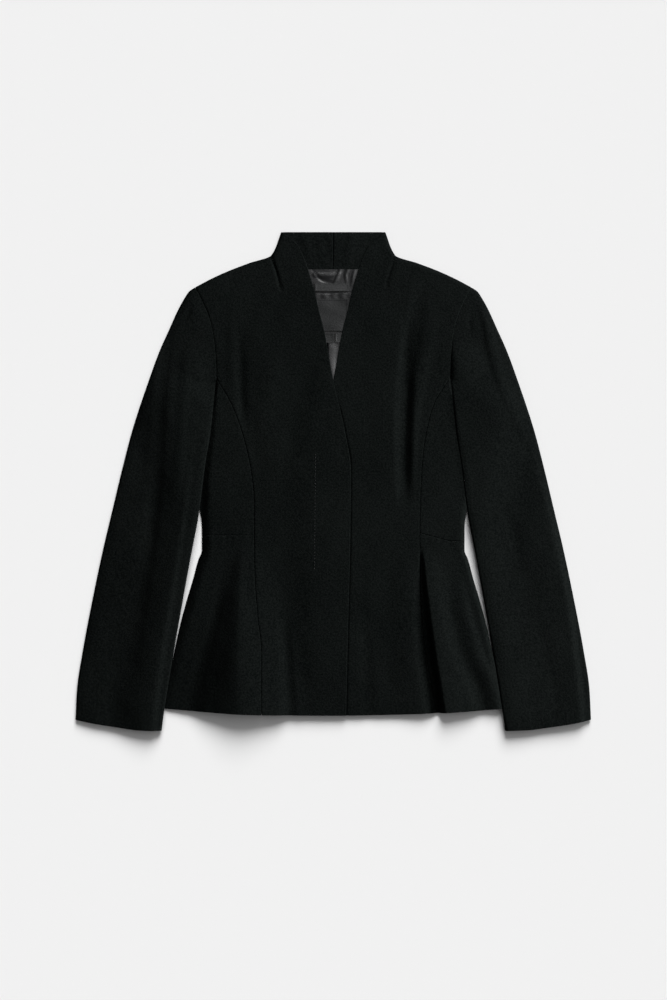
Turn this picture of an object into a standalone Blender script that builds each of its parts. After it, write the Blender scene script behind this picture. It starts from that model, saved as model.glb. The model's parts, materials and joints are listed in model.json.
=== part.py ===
"""Peplum jacket laid flat on its back, with its front side up.

The surface it lies on is the XY plane, and +Z points up from it. +Y runs from the hem to the
collar. The wearer's right side is at -X, and the right front laps over the left one. Each cloth
piece is a wall lofted through rows of sections, which turn down along its folded edges.
Lengths in the tables are in millimetres.
"""
import bisect
import math

import bmesh
import bpy

MM = 0.001
PART_NAME = "peplum_jacket"

# Driving sizes
WALL = 1.8              # wool with its fusing and lining, one layer
LINING_WALL = 1.0       # satin over its backing
LABEL_WALL = 1.0        # woven label, folded once
SEAM_GAP = 0.3          # between two pieces that are sewn together
ARMHOLE_GAP = 0.5       # the same at the armhole, where the two pieces meet at an angle
SLEEVE_GAP = 0.5        # between the upper and under sleeve along their folded edges
LAYER_GAP = 0.6         # between two layers that lie on each other
BODY_DEPTH = 6.8        # flat body, from the surface to the front's outer face
SLEEVE_DEPTH = 7.0      # flat sleeve, outer face to outer face
EDGE_ROLL = 5.0         # how far from a folded edge the cloth starts to turn down
LAP_RAMP = 12.0         # run over which the right front rises onto the hidden edge
SLEEVE_RAMP = 25.0      # run over which a sleeve climbs from the surface onto the body
SLEEVE_SHELF = 10.0     # how far past the body's edge it keeps that height
SLEEVE_SPRING = 16.0    # run over which a sleeve rises out of the armhole seam
COLLAR_TOP = 337.0
NECK_SEAM = 290.6       # back neck seam at the centre back
NECK_POINT = (84.1, 304.8)
SHOULDER_POINT = (186.3, 262.2)
UNDERARM_FRONT = (157.5, 139.0)
SIDE_PANEL_TOP = 134.0
SIDE_TOP = 95.0         # top of the side seam, hidden by the sleeve
HEM_CENTRE = -316.5
HEM_RISE = 9.0          # how much higher the hem is at the side than at the centre
HEM_HALF = 226.0
HEM_SIDE = HEM_CENTRE + HEM_RISE
WAIST = -73.0

# Front edge: y, distance of the edge from the centre line on its own side
FRONT_EDGE_ROWS = (
    (336.5, 69.4), (328.0, 57.4), (320.0, 48.8), (310.0, 43.2), (301.0, 39.1), (290.0, 35.2),
    (277.0, 31.2), (259.0, 25.8), (228.0, 18.6), (204.0, 12.4), (170.0, 6.0), (134.0, -0.5),
    (66.0, -15.9), (15.0, -23.6), (-86.0, -22.6), (-212.0, -19.4), (-316.5, -17.2),
)
# Collar and shoulder line: y, half width
SHOULDER_ROWS = (
    (336.5, 70.3), (304.8, 84.1), (294.6, 114.1), (283.8, 142.4), (273.0, 166.0), (262.2, 186.3),
)
# Back neck seam, in straight runs: y, half width
NECK_ROWS = (
    (290.6, 0.0), (292.0, 26.0), (294.6, 44.5), (299.5, 66.5), (303.6, 80.5), (304.8, 84.1),
)
# Armhole seam: y, half width
ARMHOLE_ROWS = (
    (262.2, 186.3), (258.6, 183.9), (243.3, 176.1), (221.7, 167.1), (200.0, 161.9),
    (180.0, 159.4), (159.6, 158.0), (139.0, 157.5),
)
# Princess seam on the wearer's right: y, distance from the centre line
PRINCESS_RIGHT_ROWS = (
    (139.0, 157.5), (104.0, 137.4), (78.6, 127.1), (53.0, 119.3), (15.0, 111.0), (-25.0, 107.0),
    (-73.0, 106.7), (-124.0, 105.8), (-182.0, 101.6), (-232.0, 96.5), (-316.5, 96.5),
)
# Princess seam on the wearer's left: y, distance from the centre line
PRINCESS_LEFT_ROWS = (
    (139.0, 157.5), (104.0, 136.0), (79.0, 128.7), (53.0, 123.6), (15.0, 119.7), (-25.0, 118.0),
    (-73.0, 117.0), (-160.0, 118.5), (-214.0, 122.5), (-263.0, 130.6), (-316.5, 140.5),
)
# Outer edge of the side panel, from under the sleeve down the side seam: y, half width
SIDE_ROWS = (
    (134.0, 157.6), (122.0, 159.0), (114.0, 164.0), (106.0, 178.0), (99.0, 195.0), (95.0, 206.0),
    (80.0, 202.5), (40.0, 193.0), (0.0, 184.5), (-30.0, 179.5), (-62.0, 177.0), (-93.0, 177.5),
    (-106.0, 182.3), (-133.0, 189.7), (-160.0, 197.8), (-194.0, 206.9), (-240.0, 217.0),
    (-280.0, 226.0), (-316.5, 233.0),
)
# Outer edge of a sleeve: half width, y
SLEEVE_OUTER = (
    (186.3, 262.2), (190.6, 259.5), (194.4, 256.8), (201.8, 246.0), (209.9, 231.2),
    (222.1, 204.2), (234.2, 177.2), (249.1, 136.7), (271.4, 69.2), (285.5, 15.2), (298.4, -38.8),
    (311.2, -92.8), (325.4, -160.3), (338.2, -227.8), (346.3, -281.8), (348.3, -322.3),
)
# Inner edge of a sleeve: half width, y
SLEEVE_INNER = (
    (157.5, 139.0), (158.5, 134.0), (161.7, 102.9), (165.5, 66.5), (172.4, 24.6), (181.2, -44.2),
    (190.4, -92.8), (205.2, -173.8), (227.1, -303.4), (231.9, -337.0),
)
# Cuff edge of a sleeve: half width, y
CUFF = ((231.9, -337.0), (262.0, -336.0), (290.6, -332.4), (320.0, -328.0), (348.3, -322.3))

# Folds of the wearer's right side: y, crest from the centre line, height, reach towards the
# centre, reach towards the side
RIGHT_FOLDS = {
    "flute": (
        (-85.0, 123.0, 0.0, 16.0, 12.0), (-150.0, 126.0, 4.0, 30.0, 20.0),
        (-212.0, 129.5, 8.0, 36.0, 34.0), (-316.5, 131.0, 11.0, 42.0, 56.0),
    ),
    "side_flare": (
        (-160.0, 190.0, 0.0, 12.0, 10.0), (-230.0, 205.0, 1.6, 15.0, 12.0),
        (-316.5, 214.0, 3.0, 20.0, 18.0),
    ),
    "front_dip": (
        (-180.0, 66.0, 0.0, 12.0, 12.0), (-240.0, 64.0, -1.6, 13.0, 13.0),
        (-316.5, 60.0, -1.8, 15.0, 15.0),
    ),
    "chest_dip": (
        (190.0, 127.0, 0.0, 14.0, 14.0), (120.0, 127.0, -0.9, 14.0, 14.0),
        (50.0, 100.0, 0.0, 14.0, 14.0),
    ),
}
# Folds of the wearer's left side, with the same columns
LEFT_FOLDS = {
    "front_roll": (
        (-95.0, 104.0, 0.0, 30.0, 11.0), (-160.0, 104.0, 2.6, 34.0, 14.0),
        (-240.0, 109.0, 4.2, 40.0, 16.0), (-316.5, 121.0, 5.2, 44.0, 19.0),
    ),
    "flute": (
        (-95.0, 125.0, 0.0, 7.0, 20.0), (-141.0, 129.0, 3.2, 10.0, 30.0),
        (-212.0, 145.0, 8.0, 20.0, 46.0), (-274.0, 168.0, 10.0, 32.0, 46.0),
        (-316.5, 184.0, 11.0, 42.0, 44.0),
    ),
    "chest_dip": (
        (258.0, 97.0, 0.0, 10.0, 10.0), (200.0, 98.0, -0.8, 11.0, 11.0),
        (80.0, 100.0, -1.6, 12.0, 12.0), (0.0, 100.0, -1.4, 11.0, 11.0),
        (-40.0, 99.0, 0.0, 10.0, 10.0),
    ),
}
ARMPIT_PRESS = 1.5      # how far the sleeve presses the body down where it leaves the armhole
ARMPIT_REACH = 30.0

# Rows of points down the body: y
FRONT_STATIONS = (
    334.5, 328.0, 320.0, 311.0, 304.8, 299.5, 294.6, 289.0, 283.8, 278.4, 273.0, 267.6, 262.2,
    257.0, 243.3, 230.0, 215.0, 197.0, 178.0, 159.0, 139.0, 134.0, 128.0, 122.0, 114.0, 106.0,
    99.0, 95.0, 80.0, 60.0, 40.0, 15.0, -10.0, -40.0, WAIST, -98.0, -125.0, -155.0, -185.0, -212.0, -240.0, -268.0, -293.0,
    HEM_CENTRE,
)
SIDE_STATIONS = (
    134.0, 128.0, 122.0, 114.0, 106.0, 99.0, 95.0, 80.0, 60.0, 40.0, 15.0, -10.0, -40.0, WAIST,
)
PEPLUM_STATIONS = (
    WAIST, -86.0, -98.0, -110.0, -125.0, -155.0, -185.0, -212.0, -240.0, -268.0, -293.0,
    HEM_CENTRE,
)
BACK_STATIONS = (
    303.6, 299.5, 294.6, 292.0, NECK_SEAM, 283.8, 273.0, 262.2, 257.0, 243.3, 221.7, 200.0, 170.0, 134.0,
    122.0, 114.0, 106.0, 99.0, 95.0, 80.0, 40.0, 0.0, -40.0, -73.0, -98.0, -125.0, -155.0, -194.0,
    -240.0, -280.0, HEM_CENTRE,
)
HEM_BLEND = 66.0        # the rows bend to the hem's curve over this height

# Steps across and along the pieces
FRONT_COLUMNS = 5
SIDE_COLUMNS = 4
PEPLUM_COLUMNS = 9
BACK_COLUMNS = 4
COLLAR_STEPS = 4
SLEEVE_COLUMNS = 6
ROLL_STEPS = 3
SLEEVE_STEPS = 18
SLEEVE_CROWDING = 1.35  # the rows of a sleeve are closer together near the armhole
SLEEVE_START = 0.0010   # share of the sleeve's length left open for the armhole seam
START_FADE = 6          # how soon the rows run evenly after that start
UNDER_START = 0.075     # the same at the underarm, where the under sleeve passes over the body

# Lining in the neck opening
LINING_TOP = 289.8
LINING_END = 122.0
LINING_TUCK = 15.0      # how far it runs on below each front
LINING_STEPS = 8
LINING_COLUMNS = 6
LABEL_GAP = 0.35
LABEL_STEPS = 4

# Colour (linear), roughness
WOOL = ((0.0050, 0.0060, 0.0056), 0.92)
SATIN = ((0.030, 0.031, 0.032), 0.34)
LABEL = ((0.010, 0.010, 0.011), 0.62)
TAPE = ((0.16, 0.16, 0.165), 0.55)

# Labels: (centre x, centre y, width, height), finish
LABELS = {
    "label_banner": ((-1.5, 262.0, 46.0, 10.0), TAPE),
    "label_main": ((-1.5, 224.5, 43.0, 43.0), LABEL),
    "label_size": ((-6.3, 193.5, 13.0, 13.0), LABEL),
    "label_care": ((7.0, 194.0, 8.0, 13.0), TAPE),
}


def smooth_curve(rows, column=1):
    """A function of the rows' first column that runs smoothly through another column."""
    points = sorted((row[0], row[column]) for row in rows)
    at = [point[0] for point in points]
    value = [point[1] for point in points]
    step = [high - low for low, high in zip(at, at[1:])]
    rise = [(high - low) / run for low, high, run in zip(value, value[1:], step)]
    slope = [rise[0]]
    for before, after in zip(rise, rise[1:]):
        slope.append(0.0 if before * after <= 0 else 2 * before * after / (before + after))
    slope.append(rise[-1])

    def read(position):
        position = min(max(position, at[0]), at[-1])
        i = min(bisect.bisect_right(at, position) - 1, len(step) - 1)
        t = (position - at[i]) / step[i]
        start = value[i] * (1 + 2 * t) * (1 - t) ** 2 + value[i + 1] * t * t * (3 - 2 * t)
        turn = slope[i] * t * (1 - t) ** 2 - slope[i + 1] * t * t * (1 - t)
        return start + turn * step[i]

    return read


def smooth_path(points):
    """A function of 0 to 1 that runs smoothly through points in plan, at an even speed."""
    travelled = [0.0]
    for (x0, y0), (x1, y1) in zip(points, points[1:]):
        travelled.append(travelled[-1] + math.hypot(x1 - x0, y1 - y0))
    share = [length / travelled[-1] for length in travelled]
    x_at = smooth_curve([(s, p[0]) for s, p in zip(share, points)])
    y_at = smooth_curve([(s, p[1]) for s, p in zip(share, points)])
    return lambda s: (x_at(s), y_at(s))


def smooth_step(value):
    """0 below 0, 1 above 1, and an S between."""
    value = min(max(value, 0.0), 1.0)
    return value * value * (3 - 2 * value)


def mix(low, high, share):
    return low + (high - low) * share


def path_nearest(path, x, y):
    """Distance in plan from a point to a chain of straight runs, and the way off that chain.

    The chains here run down the wearer's left side, so the way off is to their right, inward.
    """
    nearest = math.inf
    inward = (0.0, 0.0)
    for (x0, y0), (x1, y1) in zip(path, path[1:]):
        run_x, run_y = x1 - x0, y1 - y0
        length = math.hypot(run_x, run_y)
        share = ((x - x0) * run_x + (y - y0) * run_y) / length ** 2
        share = min(max(share, 0.0), 1.0)
        distance = math.hypot(x - x0 - share * run_x, y - y0 - share * run_y)
        if distance < nearest:
            nearest = distance
            inward = (run_y / length, -run_x / length)
    return nearest, inward


front_edge = smooth_curve(FRONT_EDGE_ROWS)
shoulder_line = smooth_curve(SHOULDER_ROWS)
armhole_line = smooth_curve(ARMHOLE_ROWS)
side_line = smooth_curve(SIDE_ROWS)
princess = {-1: smooth_curve(PRINCESS_RIGHT_ROWS), 1: smooth_curve(PRINCESS_LEFT_ROWS)}
sleeve_outer = smooth_path(SLEEVE_OUTER)
sleeve_inner = smooth_path(SLEEVE_INNER)
sleeve_cuff = smooth_path(CUFF)
sleeve_top = smooth_path([(x, y) for y, x in reversed(ARMHOLE_ROWS)])


def traced(line, top, bottom, step=4.0):
    """Points along a line that is a function of y."""
    count = math.ceil((top - bottom) / step)
    heights = [mix(top, bottom, i / count) for i in range(count + 1)]
    return [(line(y), y) for y in heights]


OUTLINE = traced(shoulder_line, COLLAR_TOP, SHOULDER_POINT[1]) + list(SLEEVE_OUTER[1:8])
SIDE_SEAM = traced(side_line, SIDE_TOP, HEM_CENTRE)
SIDE_REGION = traced(side_line, SIDE_PANEL_TOP, HEM_SIDE) + [(150.0, HEM_SIDE)]
ARMHOLE_PATH = [sleeve_top(i / 30) for i in range(31)]


def fold_height(rows, x, y):
    """Height that one fold adds at a place on its own side."""
    crest, height, inner, outer = (smooth_curve(rows, column)(y) for column in (1, 2, 3, 4))
    if y > rows[0][0] or height == 0.0:
        return 0.0
    reach = inner if x < crest else outer
    return height * (0.5 + 0.5 * math.cos(math.pi * min(abs(x - crest) / reach, 1.0)))


def front_height(side, x, y):
    """Outer face of the front layer, before its folded edges turn down."""
    folds = RIGHT_FOLDS if side < 0 else LEFT_FOLDS
    raised = sum(fold_height(rows, x, y) for rows in folds.values())
    away = math.hypot(x - UNDERARM_FRONT[0], y - UNDERARM_FRONT[1])
    press = ARMPIT_PRESS * (1 - smooth_step(away / ARMPIT_REACH))
    return BODY_DEPTH + raised - press


def body_edge(x, y):
    """Distance to the body's nearest folded edge, and the way inward from it."""
    return min(path_nearest(OUTLINE, x, y), path_nearest(SIDE_SEAM, x, y))


def wall(x, y, middle, face, distance, inward):
    """Outer and inner point of a wall at a place, turned down to mid height at a folded edge.

    Both faces turn along a quarter of an ellipse about the same centre, a wall apart.
    """
    turn = max(1.0 - distance / EDGE_ROLL, 0.0)
    rise = math.sqrt(1.0 - turn ** 2)
    thickness = math.copysign(WALL, face - middle)
    outer = (x, y, mix(middle, face, rise))
    shift = WALL * turn
    inner = (x + inward[0] * shift, y + inward[1] * shift, outer[2] - thickness * rise)
    return outer, inner


def front_wall(side, x, y, lift=0.0):
    """The front layer's wall at a place."""
    middle = BODY_DEPTH / 2 + SEAM_GAP / 2
    return wall(x, y, middle, front_height(side, x, y) + lift, *body_edge(x, y))


def back_wall(x, y):
    """The back's wall, flat on the surface and rounded up at its edges."""
    return wall(x, y, BODY_DEPTH / 2 - SEAM_GAP / 2, 0.0, *body_edge(x, y))


def lap_lift(across, y):
    """How far the right front is raised over the left one, at a signed place across."""
    hidden_edge = front_edge(y)
    return (WALL + LAYER_GAP) * smooth_step((across - hidden_edge + 2.0) / LAP_RAMP + 1.0)


def hem_shift(x, y):
    """How far a row near the hem is moved up to follow the hem's curve."""
    rise = HEM_RISE * (x / HEM_HALF) ** 2
    return rise * smooth_step((HEM_CENTRE + HEM_BLEND - y) / HEM_BLEND)


def waist_shift(side, x, y):
    """Slope of the waist seam, which drops towards the side on the wearer's left."""
    if side < 0:
        return 0.0
    start = princess[side](WAIST)
    slope = 3.0 - 11.0 * min(max((x - start) / 42.0, 0.0), 1.0)
    return slope * (1 - smooth_step(abs(y - WAIST) / 40.0))


def sleeve_base(side, x, y):
    """Lower face of a sleeve: on the surface, and up over the body where it lies on that."""
    if HEM_SIDE <= y <= SIDE_PANEL_TOP and x <= side_line(y):
        outside = 0.0
    else:
        outside = path_nearest(SIDE_REGION, x, y)[0]
    body = front_height(side, x, y) + LAYER_GAP
    return body * (1 - smooth_step((outside - SLEEVE_SHELF) / SLEEVE_RAMP))


def sleeve_place(a, v):
    """Place in plan on a sleeve: a runs from its inner to its outer edge, v to the cuff."""
    top, end = sleeve_top(a), sleeve_cuff(a)
    inner, outer = sleeve_inner(v), sleeve_outer(v)
    corners = (sleeve_top(0), sleeve_top(1), sleeve_cuff(0), sleeve_cuff(1))
    place = []
    for i in (0, 1):
        flat = mix(mix(corners[0][i], corners[1][i], a), mix(corners[2][i], corners[3][i], a), v)
        place.append(mix(top[i], end[i], v) + mix(inner[i], outer[i], a) - flat)
    return place


def sleeve_width(v):
    """Width of a sleeve at a share of its length."""
    (x0, y0), (x1, y1) = sleeve_place(0, v), sleeve_place(1, v)
    return math.hypot(x1 - x0, y1 - y0)


def sleeve_shares(v):
    """Shares across a sleeve, close together where its two folded edges turn."""
    width = sleeve_width(v)
    roll = EDGE_ROLL / width
    turn = [distance / width for distance in roll_turns(EDGE_ROLL)]
    flat = [mix(roll, 1 - roll, i / SLEEVE_COLUMNS) for i in range(SLEEVE_COLUMNS + 1)]
    return turn[::-1] + flat + [1 - share for share in turn]


def sleeve_wall(side, a, v, upper):
    """A sleeve's upper or under wall at a place."""
    x, y = sleeve_place(a, v)
    (x0, y0), (x1, y1) = sleeve_place(0, v), sleeve_place(1, v)
    width = sleeve_width(v)
    way = 1.0 if a < 0.5 else -1.0
    inward = (way * (x1 - x0) / width, way * (y1 - y0) / width)
    edge = (min(a, 1 - a) * width, inward)
    base = sleeve_base(side, x, y)
    middle = base + SLEEVE_DEPTH / 2
    if not upper:
        return wall(x, y, middle - SLEEVE_GAP / 2, base, *edge)
    free = wall(x, y, middle + SLEEVE_GAP / 2, base + SLEEVE_DEPTH, *edge)
    seam = front_wall(side, x, y)
    share = smooth_step(path_nearest(ARMHOLE_PATH, x, y)[0] / SLEEVE_SPRING)
    return [[mix(s, f, share) for s, f in zip(*pair)] for pair in zip(seam, free)]


def new_object(name, mesh, finish, collection):
    """Puts a mesh in the part's collection with a material of its own."""
    color, roughness = finish
    material = bpy.data.materials.new(name)
    material.use_nodes = True
    shader = material.node_tree.nodes["Principled BSDF"]
    shader.inputs["Base Color"].default_value = (*color, 1.0)
    shader.inputs["Roughness"].default_value = roughness
    shader.inputs["Metallic"].default_value = 0.0
    obj = bpy.data.objects.new(name, mesh)
    obj.data.materials.append(material)
    collection.objects.link(obj)
    return obj


def grid_faces(shape, grid, flip):
    """Fills a grid of points with faces."""
    for upper, lower in zip(grid, grid[1:]):
        for i in range(len(upper) - 1):
            corners = (upper[i], lower[i], lower[i + 1], upper[i + 1])
            shape.faces.new(corners[::-1] if flip else corners)


def finished(name, shape, finish, collection):
    mesh = bpy.data.meshes.new(name)
    shape.to_mesh(mesh)
    shape.free()
    mesh.shade_smooth()
    mesh.set_sharp_from_angle(angle=math.radians(50))
    return new_object(name, mesh, finish, collection)


def cloth(name, rows, side, finish, collection):
    """A cloth wall lofted through rows of pairs, each an outer and an inner point."""
    shape = bmesh.new()
    grids = []
    for layer in (0, 1):
        grids.append([[shape.verts.new([c * MM for c in (side * pair[layer][0], *pair[layer][1:])])
                       for pair in row] for row in rows])
    outer, inner = grids
    grid_faces(shape, outer, flip=False)
    grid_faces(shape, inner, flip=True)
    rims = [
        (outer[0], inner[0]), (inner[-1], outer[-1]),
        ([row[0] for row in inner], [row[0] for row in outer]),
        ([row[-1] for row in outer], [row[-1] for row in inner]),
    ]
    for rim in rims:
        grid_faces(shape, rim, flip=True)
    if shape.calc_volume(signed=True) < 0:
        bmesh.ops.reverse_faces(shape, faces=shape.faces)
    return finished(name, shape, finish, collection)


def sheet(name, rows, finish, collection, thickness):
    """A flat piece, its upper face lofted through rows of points and thickened downward."""
    shape = bmesh.new()
    grid_faces(shape, [[shape.verts.new([c * MM for c in p]) for p in row] for row in rows], False)
    obj = finished(name, shape, finish, collection)
    thicken = obj.modifiers.new("cloth", "SOLIDIFY")
    thicken.thickness = thickness * MM
    thicken.offset = -1.0
    return obj


def roll_width(line, y):
    """Width along a row of a roll that is square to a line."""
    slope = (line(y + 1.0) - line(y - 1.0)) / 2.0
    return EDGE_ROLL * math.hypot(1.0, slope)


def roll_turns(roll):
    """Distances from a folded edge, closer and closer to it."""
    angles = [i * math.pi / 2 / ROLL_STEPS for i in range(1, ROLL_STEPS)]
    return [roll * (1 - math.sin(angle)) for angle in angles] + [0.0]


def rolled(starts, outer, count, roll):
    """Places across a piece: its first ones, then an even run, then a fine roll at the edge."""
    inner = starts[-1]
    roll = min(roll, (outer - inner) * 0.6)
    places = starts[:-1] + [mix(inner, outer - roll, i / count) for i in range(count + 1)]
    return places + [outer - turn for turn in roll_turns(roll)]


def front_rows(side, right_on_top):
    """Rows of a front: collar, shoulder, armhole and princess seam outside, the edge inside."""
    rows = []
    for y in FRONT_STATIONS:
        roll = 8.0
        if y >= SHOULDER_POINT[1]:
            outer = shoulder_line(y)
            roll = roll_width(shoulder_line, y)
        elif y >= UNDERARM_FRONT[1]:
            outer = armhole_line(y) - ARMHOLE_GAP / 2
        else:
            outer = princess[side](y + hem_shift(princess[side](y), y)) - SEAM_GAP / 2
        row = []
        inner = front_edge(y)
        lap_end = inner + min(2.0 + max(-2.0 * inner, 0.0), 0.4 * (outer - inner))
        ramp_end = lap_end + min(LAP_RAMP, 0.2 * (outer - inner))
        for x in rolled([inner, lap_end, ramp_end], outer, FRONT_COLUMNS, roll):
            place = y + hem_shift(x, y)
            lift = lap_lift(side * x, place) if right_on_top else 0.0
            row.append(front_wall(side, x, place, lift))
        rows.append(row)
    return rows


def side_shift(side, x, y):
    """How far a point of a side front or a peplum is moved for the waist seam and the hem."""
    return waist_shift(side, x, y) + hem_shift(x, y)


def side_piece_rows(side, stations, columns, waist_gap):
    """Rows of a side piece, from the princess seam to the side seam."""
    rows = []
    for y in stations:
        start, end = princess[side](y), side_line(y)
        inner = princess[side](y + side_shift(side, start, y)) + SEAM_GAP / 2
        outer = side_line(y + side_shift(side, end, y))
        outer -= SEAM_GAP if y > SIDE_TOP else 0.0
        rows.append([])
        for x in rolled([inner], outer, columns, EDGE_ROLL):
            place = y + side_shift(side, x, y) + (waist_gap if y == WAIST else 0.0)
            rows[-1].append(front_wall(side, x, place))
    return rows


def side_rows(side):
    """Rows of a side front, from the armhole to the waist seam."""
    return side_piece_rows(side, SIDE_STATIONS, SIDE_COLUMNS, SEAM_GAP / 2)


def peplum_rows(side):
    """Rows of a peplum side, from the waist seam to the hem."""
    return side_piece_rows(side, PEPLUM_STATIONS, PEPLUM_COLUMNS, -SEAM_GAP / 2)


def straight_runs(rows, value, given, wanted):
    """Reads one column of a table at a value of another, along straight runs."""
    for low, high in zip(rows, rows[1:]):
        if value <= high[given]:
            break
    share = (value - low[given]) / (high[given] - low[given])
    return mix(low[wanted], high[wanted], share)


def neck_seam(x):
    """Height of the back neck seam at a place across."""
    return straight_runs(NECK_ROWS, x, 1, 0)


def back_rows():
    """Rows of a back, from the neck and shoulder to the hem."""
    rows = []
    for y in BACK_STATIONS:
        inner = SEAM_GAP / 2
        if y > NECK_SEAM:
            inner = straight_runs(NECK_ROWS, y, 0, 1)
        roll = EDGE_ROLL
        if y >= SHOULDER_POINT[1]:
            outer = shoulder_line(y)
            roll = roll_width(shoulder_line, y)
        elif y > SIDE_PANEL_TOP:
            outer = armhole_line(y) - ARMHOLE_GAP / 2
        else:
            outer = side_line(y + hem_shift(side_line(y), y))
            outer -= SEAM_GAP if y > SIDE_TOP else 0.0
        places = rolled([inner], outer, BACK_COLUMNS, roll)
        rows.append([back_wall(x, y + hem_shift(x, y)) for x in places])
    return rows


def collar_rows():
    """Rows of a back collar, from the neck seam to the collar's top."""
    rows = []
    for i in range(COLLAR_STEPS + 1):
        share = i / COLLAR_STEPS
        outer = NECK_POINT[0]
        for _ in range(4):
            outer = shoulder_line(mix(neck_seam(outer) + SEAM_GAP, COLLAR_TOP, share))
        rows.append([])
        for x in rolled([SEAM_GAP / 2], outer, BACK_COLUMNS, EDGE_ROLL * 1.1):
            y = mix(neck_seam(x) + SEAM_GAP, COLLAR_TOP, share)
            rows[-1].append(back_wall(x, y))
    return rows


def sleeve_rows(side, upper):
    """Rows of a sleeve's upper or under piece, from the armhole to the cuff."""
    rows = []
    for i in range(SLEEVE_STEPS + 1):
        share = (i / SLEEVE_STEPS) ** SLEEVE_CROWDING
        rows.append([])
        for a in sleeve_shares(share):
            start = SLEEVE_START if upper else under_start(a)
            along = share + start * (1 - share) ** START_FADE
            rows[-1].append(sleeve_wall(side, a, along, upper))
    return rows


def under_start(a):
    """Where the under sleeve starts: at the seam, but clear of the body at the underarm."""
    return mix(UNDER_START, SLEEVE_START * 2, smooth_step((a - 0.2) / 0.25))


def lining_rows():
    """Rows of the back lining, as much of it as shows in the neck opening."""
    height = WALL + LAYER_GAP + LINING_WALL
    rows = []
    for i in range(LINING_STEPS + 1):
        y = mix(LINING_TOP, LINING_END, i / LINING_STEPS)
        half = front_edge(y) + LINING_TUCK
        columns = [mix(-half, half, j / LINING_COLUMNS) for j in range(LINING_COLUMNS + 1)]
        rows.append([(x, y, height) for x in columns])
    return rows


def label_rows(x, y, width, height):
    """Rows of a flat label that lies on the lining."""
    face = WALL + LAYER_GAP + LINING_WALL + LABEL_GAP + LABEL_WALL
    steps = range(LABEL_STEPS + 1)
    rows = []
    for i in steps:
        place = y + height * (0.5 - i / LABEL_STEPS)
        rows.append([(x + width * (j / LABEL_STEPS - 0.5), place, face) for j in steps])
    return rows


def build():
    for obj in list(bpy.data.objects):
        bpy.data.objects.remove(obj, do_unlink=True)
    collection = bpy.data.collections.new(PART_NAME)
    bpy.context.scene.collection.children.link(collection)

    for side, word in ((-1, "right"), (1, "left")):
        on_top = side < 0
        cloth("front_" + word, front_rows(side, on_top), side, WOOL, collection)
        cloth("side_front_" + word, side_rows(side), side, WOOL, collection)
        cloth("peplum_" + word, peplum_rows(side), side, WOOL, collection)
        cloth("back_" + word, back_rows(), side, WOOL, collection)
        cloth("collar_back_" + word, collar_rows(), side, WOOL, collection)
        cloth("sleeve_top_" + word, sleeve_rows(side, True), side, WOOL, collection)
        cloth("sleeve_under_" + word, sleeve_rows(side, False), side, WOOL, collection)

    sheet("lining_back", lining_rows(), SATIN, collection, LINING_WALL)
    for name, (place, finish) in LABELS.items():
        sheet(name, label_rows(*place), finish, collection, LABEL_WALL)


build()
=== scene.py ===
"""The finish of a black wool peplum jacket that is laid flat on its back, front side up.

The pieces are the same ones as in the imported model, cut from the same lines on a finer grid, with
their seams, edges, folds and creases. The surface the jacket lies on is the XY plane, +Y runs from
the hem to the collar, and the wearer's right side is at -X. Lengths in the tables are in
millimetres, and a side is -1 for the wearer's right and 1 for the left.
"""
import json
import math

import bmesh
import bpy
import numpy as np
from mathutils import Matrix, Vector

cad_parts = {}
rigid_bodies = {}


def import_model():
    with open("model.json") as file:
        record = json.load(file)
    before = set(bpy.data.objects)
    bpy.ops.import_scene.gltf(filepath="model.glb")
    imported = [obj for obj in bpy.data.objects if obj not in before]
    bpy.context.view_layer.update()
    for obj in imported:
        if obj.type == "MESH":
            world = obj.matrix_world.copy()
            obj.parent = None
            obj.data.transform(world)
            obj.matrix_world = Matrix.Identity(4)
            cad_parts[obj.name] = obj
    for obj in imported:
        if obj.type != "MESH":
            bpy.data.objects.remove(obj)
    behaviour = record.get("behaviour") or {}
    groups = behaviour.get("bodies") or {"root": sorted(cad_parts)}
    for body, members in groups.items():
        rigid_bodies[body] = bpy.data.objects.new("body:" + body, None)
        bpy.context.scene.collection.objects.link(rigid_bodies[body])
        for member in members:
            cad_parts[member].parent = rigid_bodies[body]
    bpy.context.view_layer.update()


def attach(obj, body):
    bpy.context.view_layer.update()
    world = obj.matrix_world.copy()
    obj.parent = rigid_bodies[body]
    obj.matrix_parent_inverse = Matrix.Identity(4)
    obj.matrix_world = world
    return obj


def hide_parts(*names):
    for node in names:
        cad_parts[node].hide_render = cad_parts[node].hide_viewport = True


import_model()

MM = 0.001
SIDES = {"right": -1, "left": 1}

# Driving sizes
WALL = 1.8              # wool with its fusing and lining, one layer
LINING_WALL = 1.0       # satin over its backing
LABEL_WALL = 0.6        # woven label, folded once
SEAM_GAP = 0.7          # between two pieces that are sewn together
ARMHOLE_GAP = 0.3       # the same at the armhole, where their lower faces lap
SLEEVE_GAP = 0.5        # between the upper and under sleeve along their folded edges
LAYER_GAP = 0.6         # between two layers that lie on each other
BODY_DEPTH = 6.8        # flat body, from the surface to the front's outer face
SLEEVE_DEPTH = 7.0      # flat sleeve, outer face to outer face
EDGE_ROLL = 5.0         # how far from a folded edge the cloth starts to turn down
SIDE_ROLL = {-1: 14.0, 1: 6.0}      # the same along the side seam
SIDE_ROLL_RUN = 30.0    # height over which the edge's roll changes to that one
SLEEVE_ROLL = 3.0       # how far from a sleeve's folded edge the cloth starts to turn down
INNER_ROLL = {-1: 3.0, 1: 6.0}      # the same along its inner edge at the underarm
SOFT_TURN = 1.8         # power of a soft roll's slope
SIDE_HEIGHT = 1.7       # of the side seam above the surface, lower than the other folded edges
LAP_RAMP = 46.0         # run over which the right front rises onto the hidden edge
LAP_CLEAR = 2.0         # how far short of that edge it has risen
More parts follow.
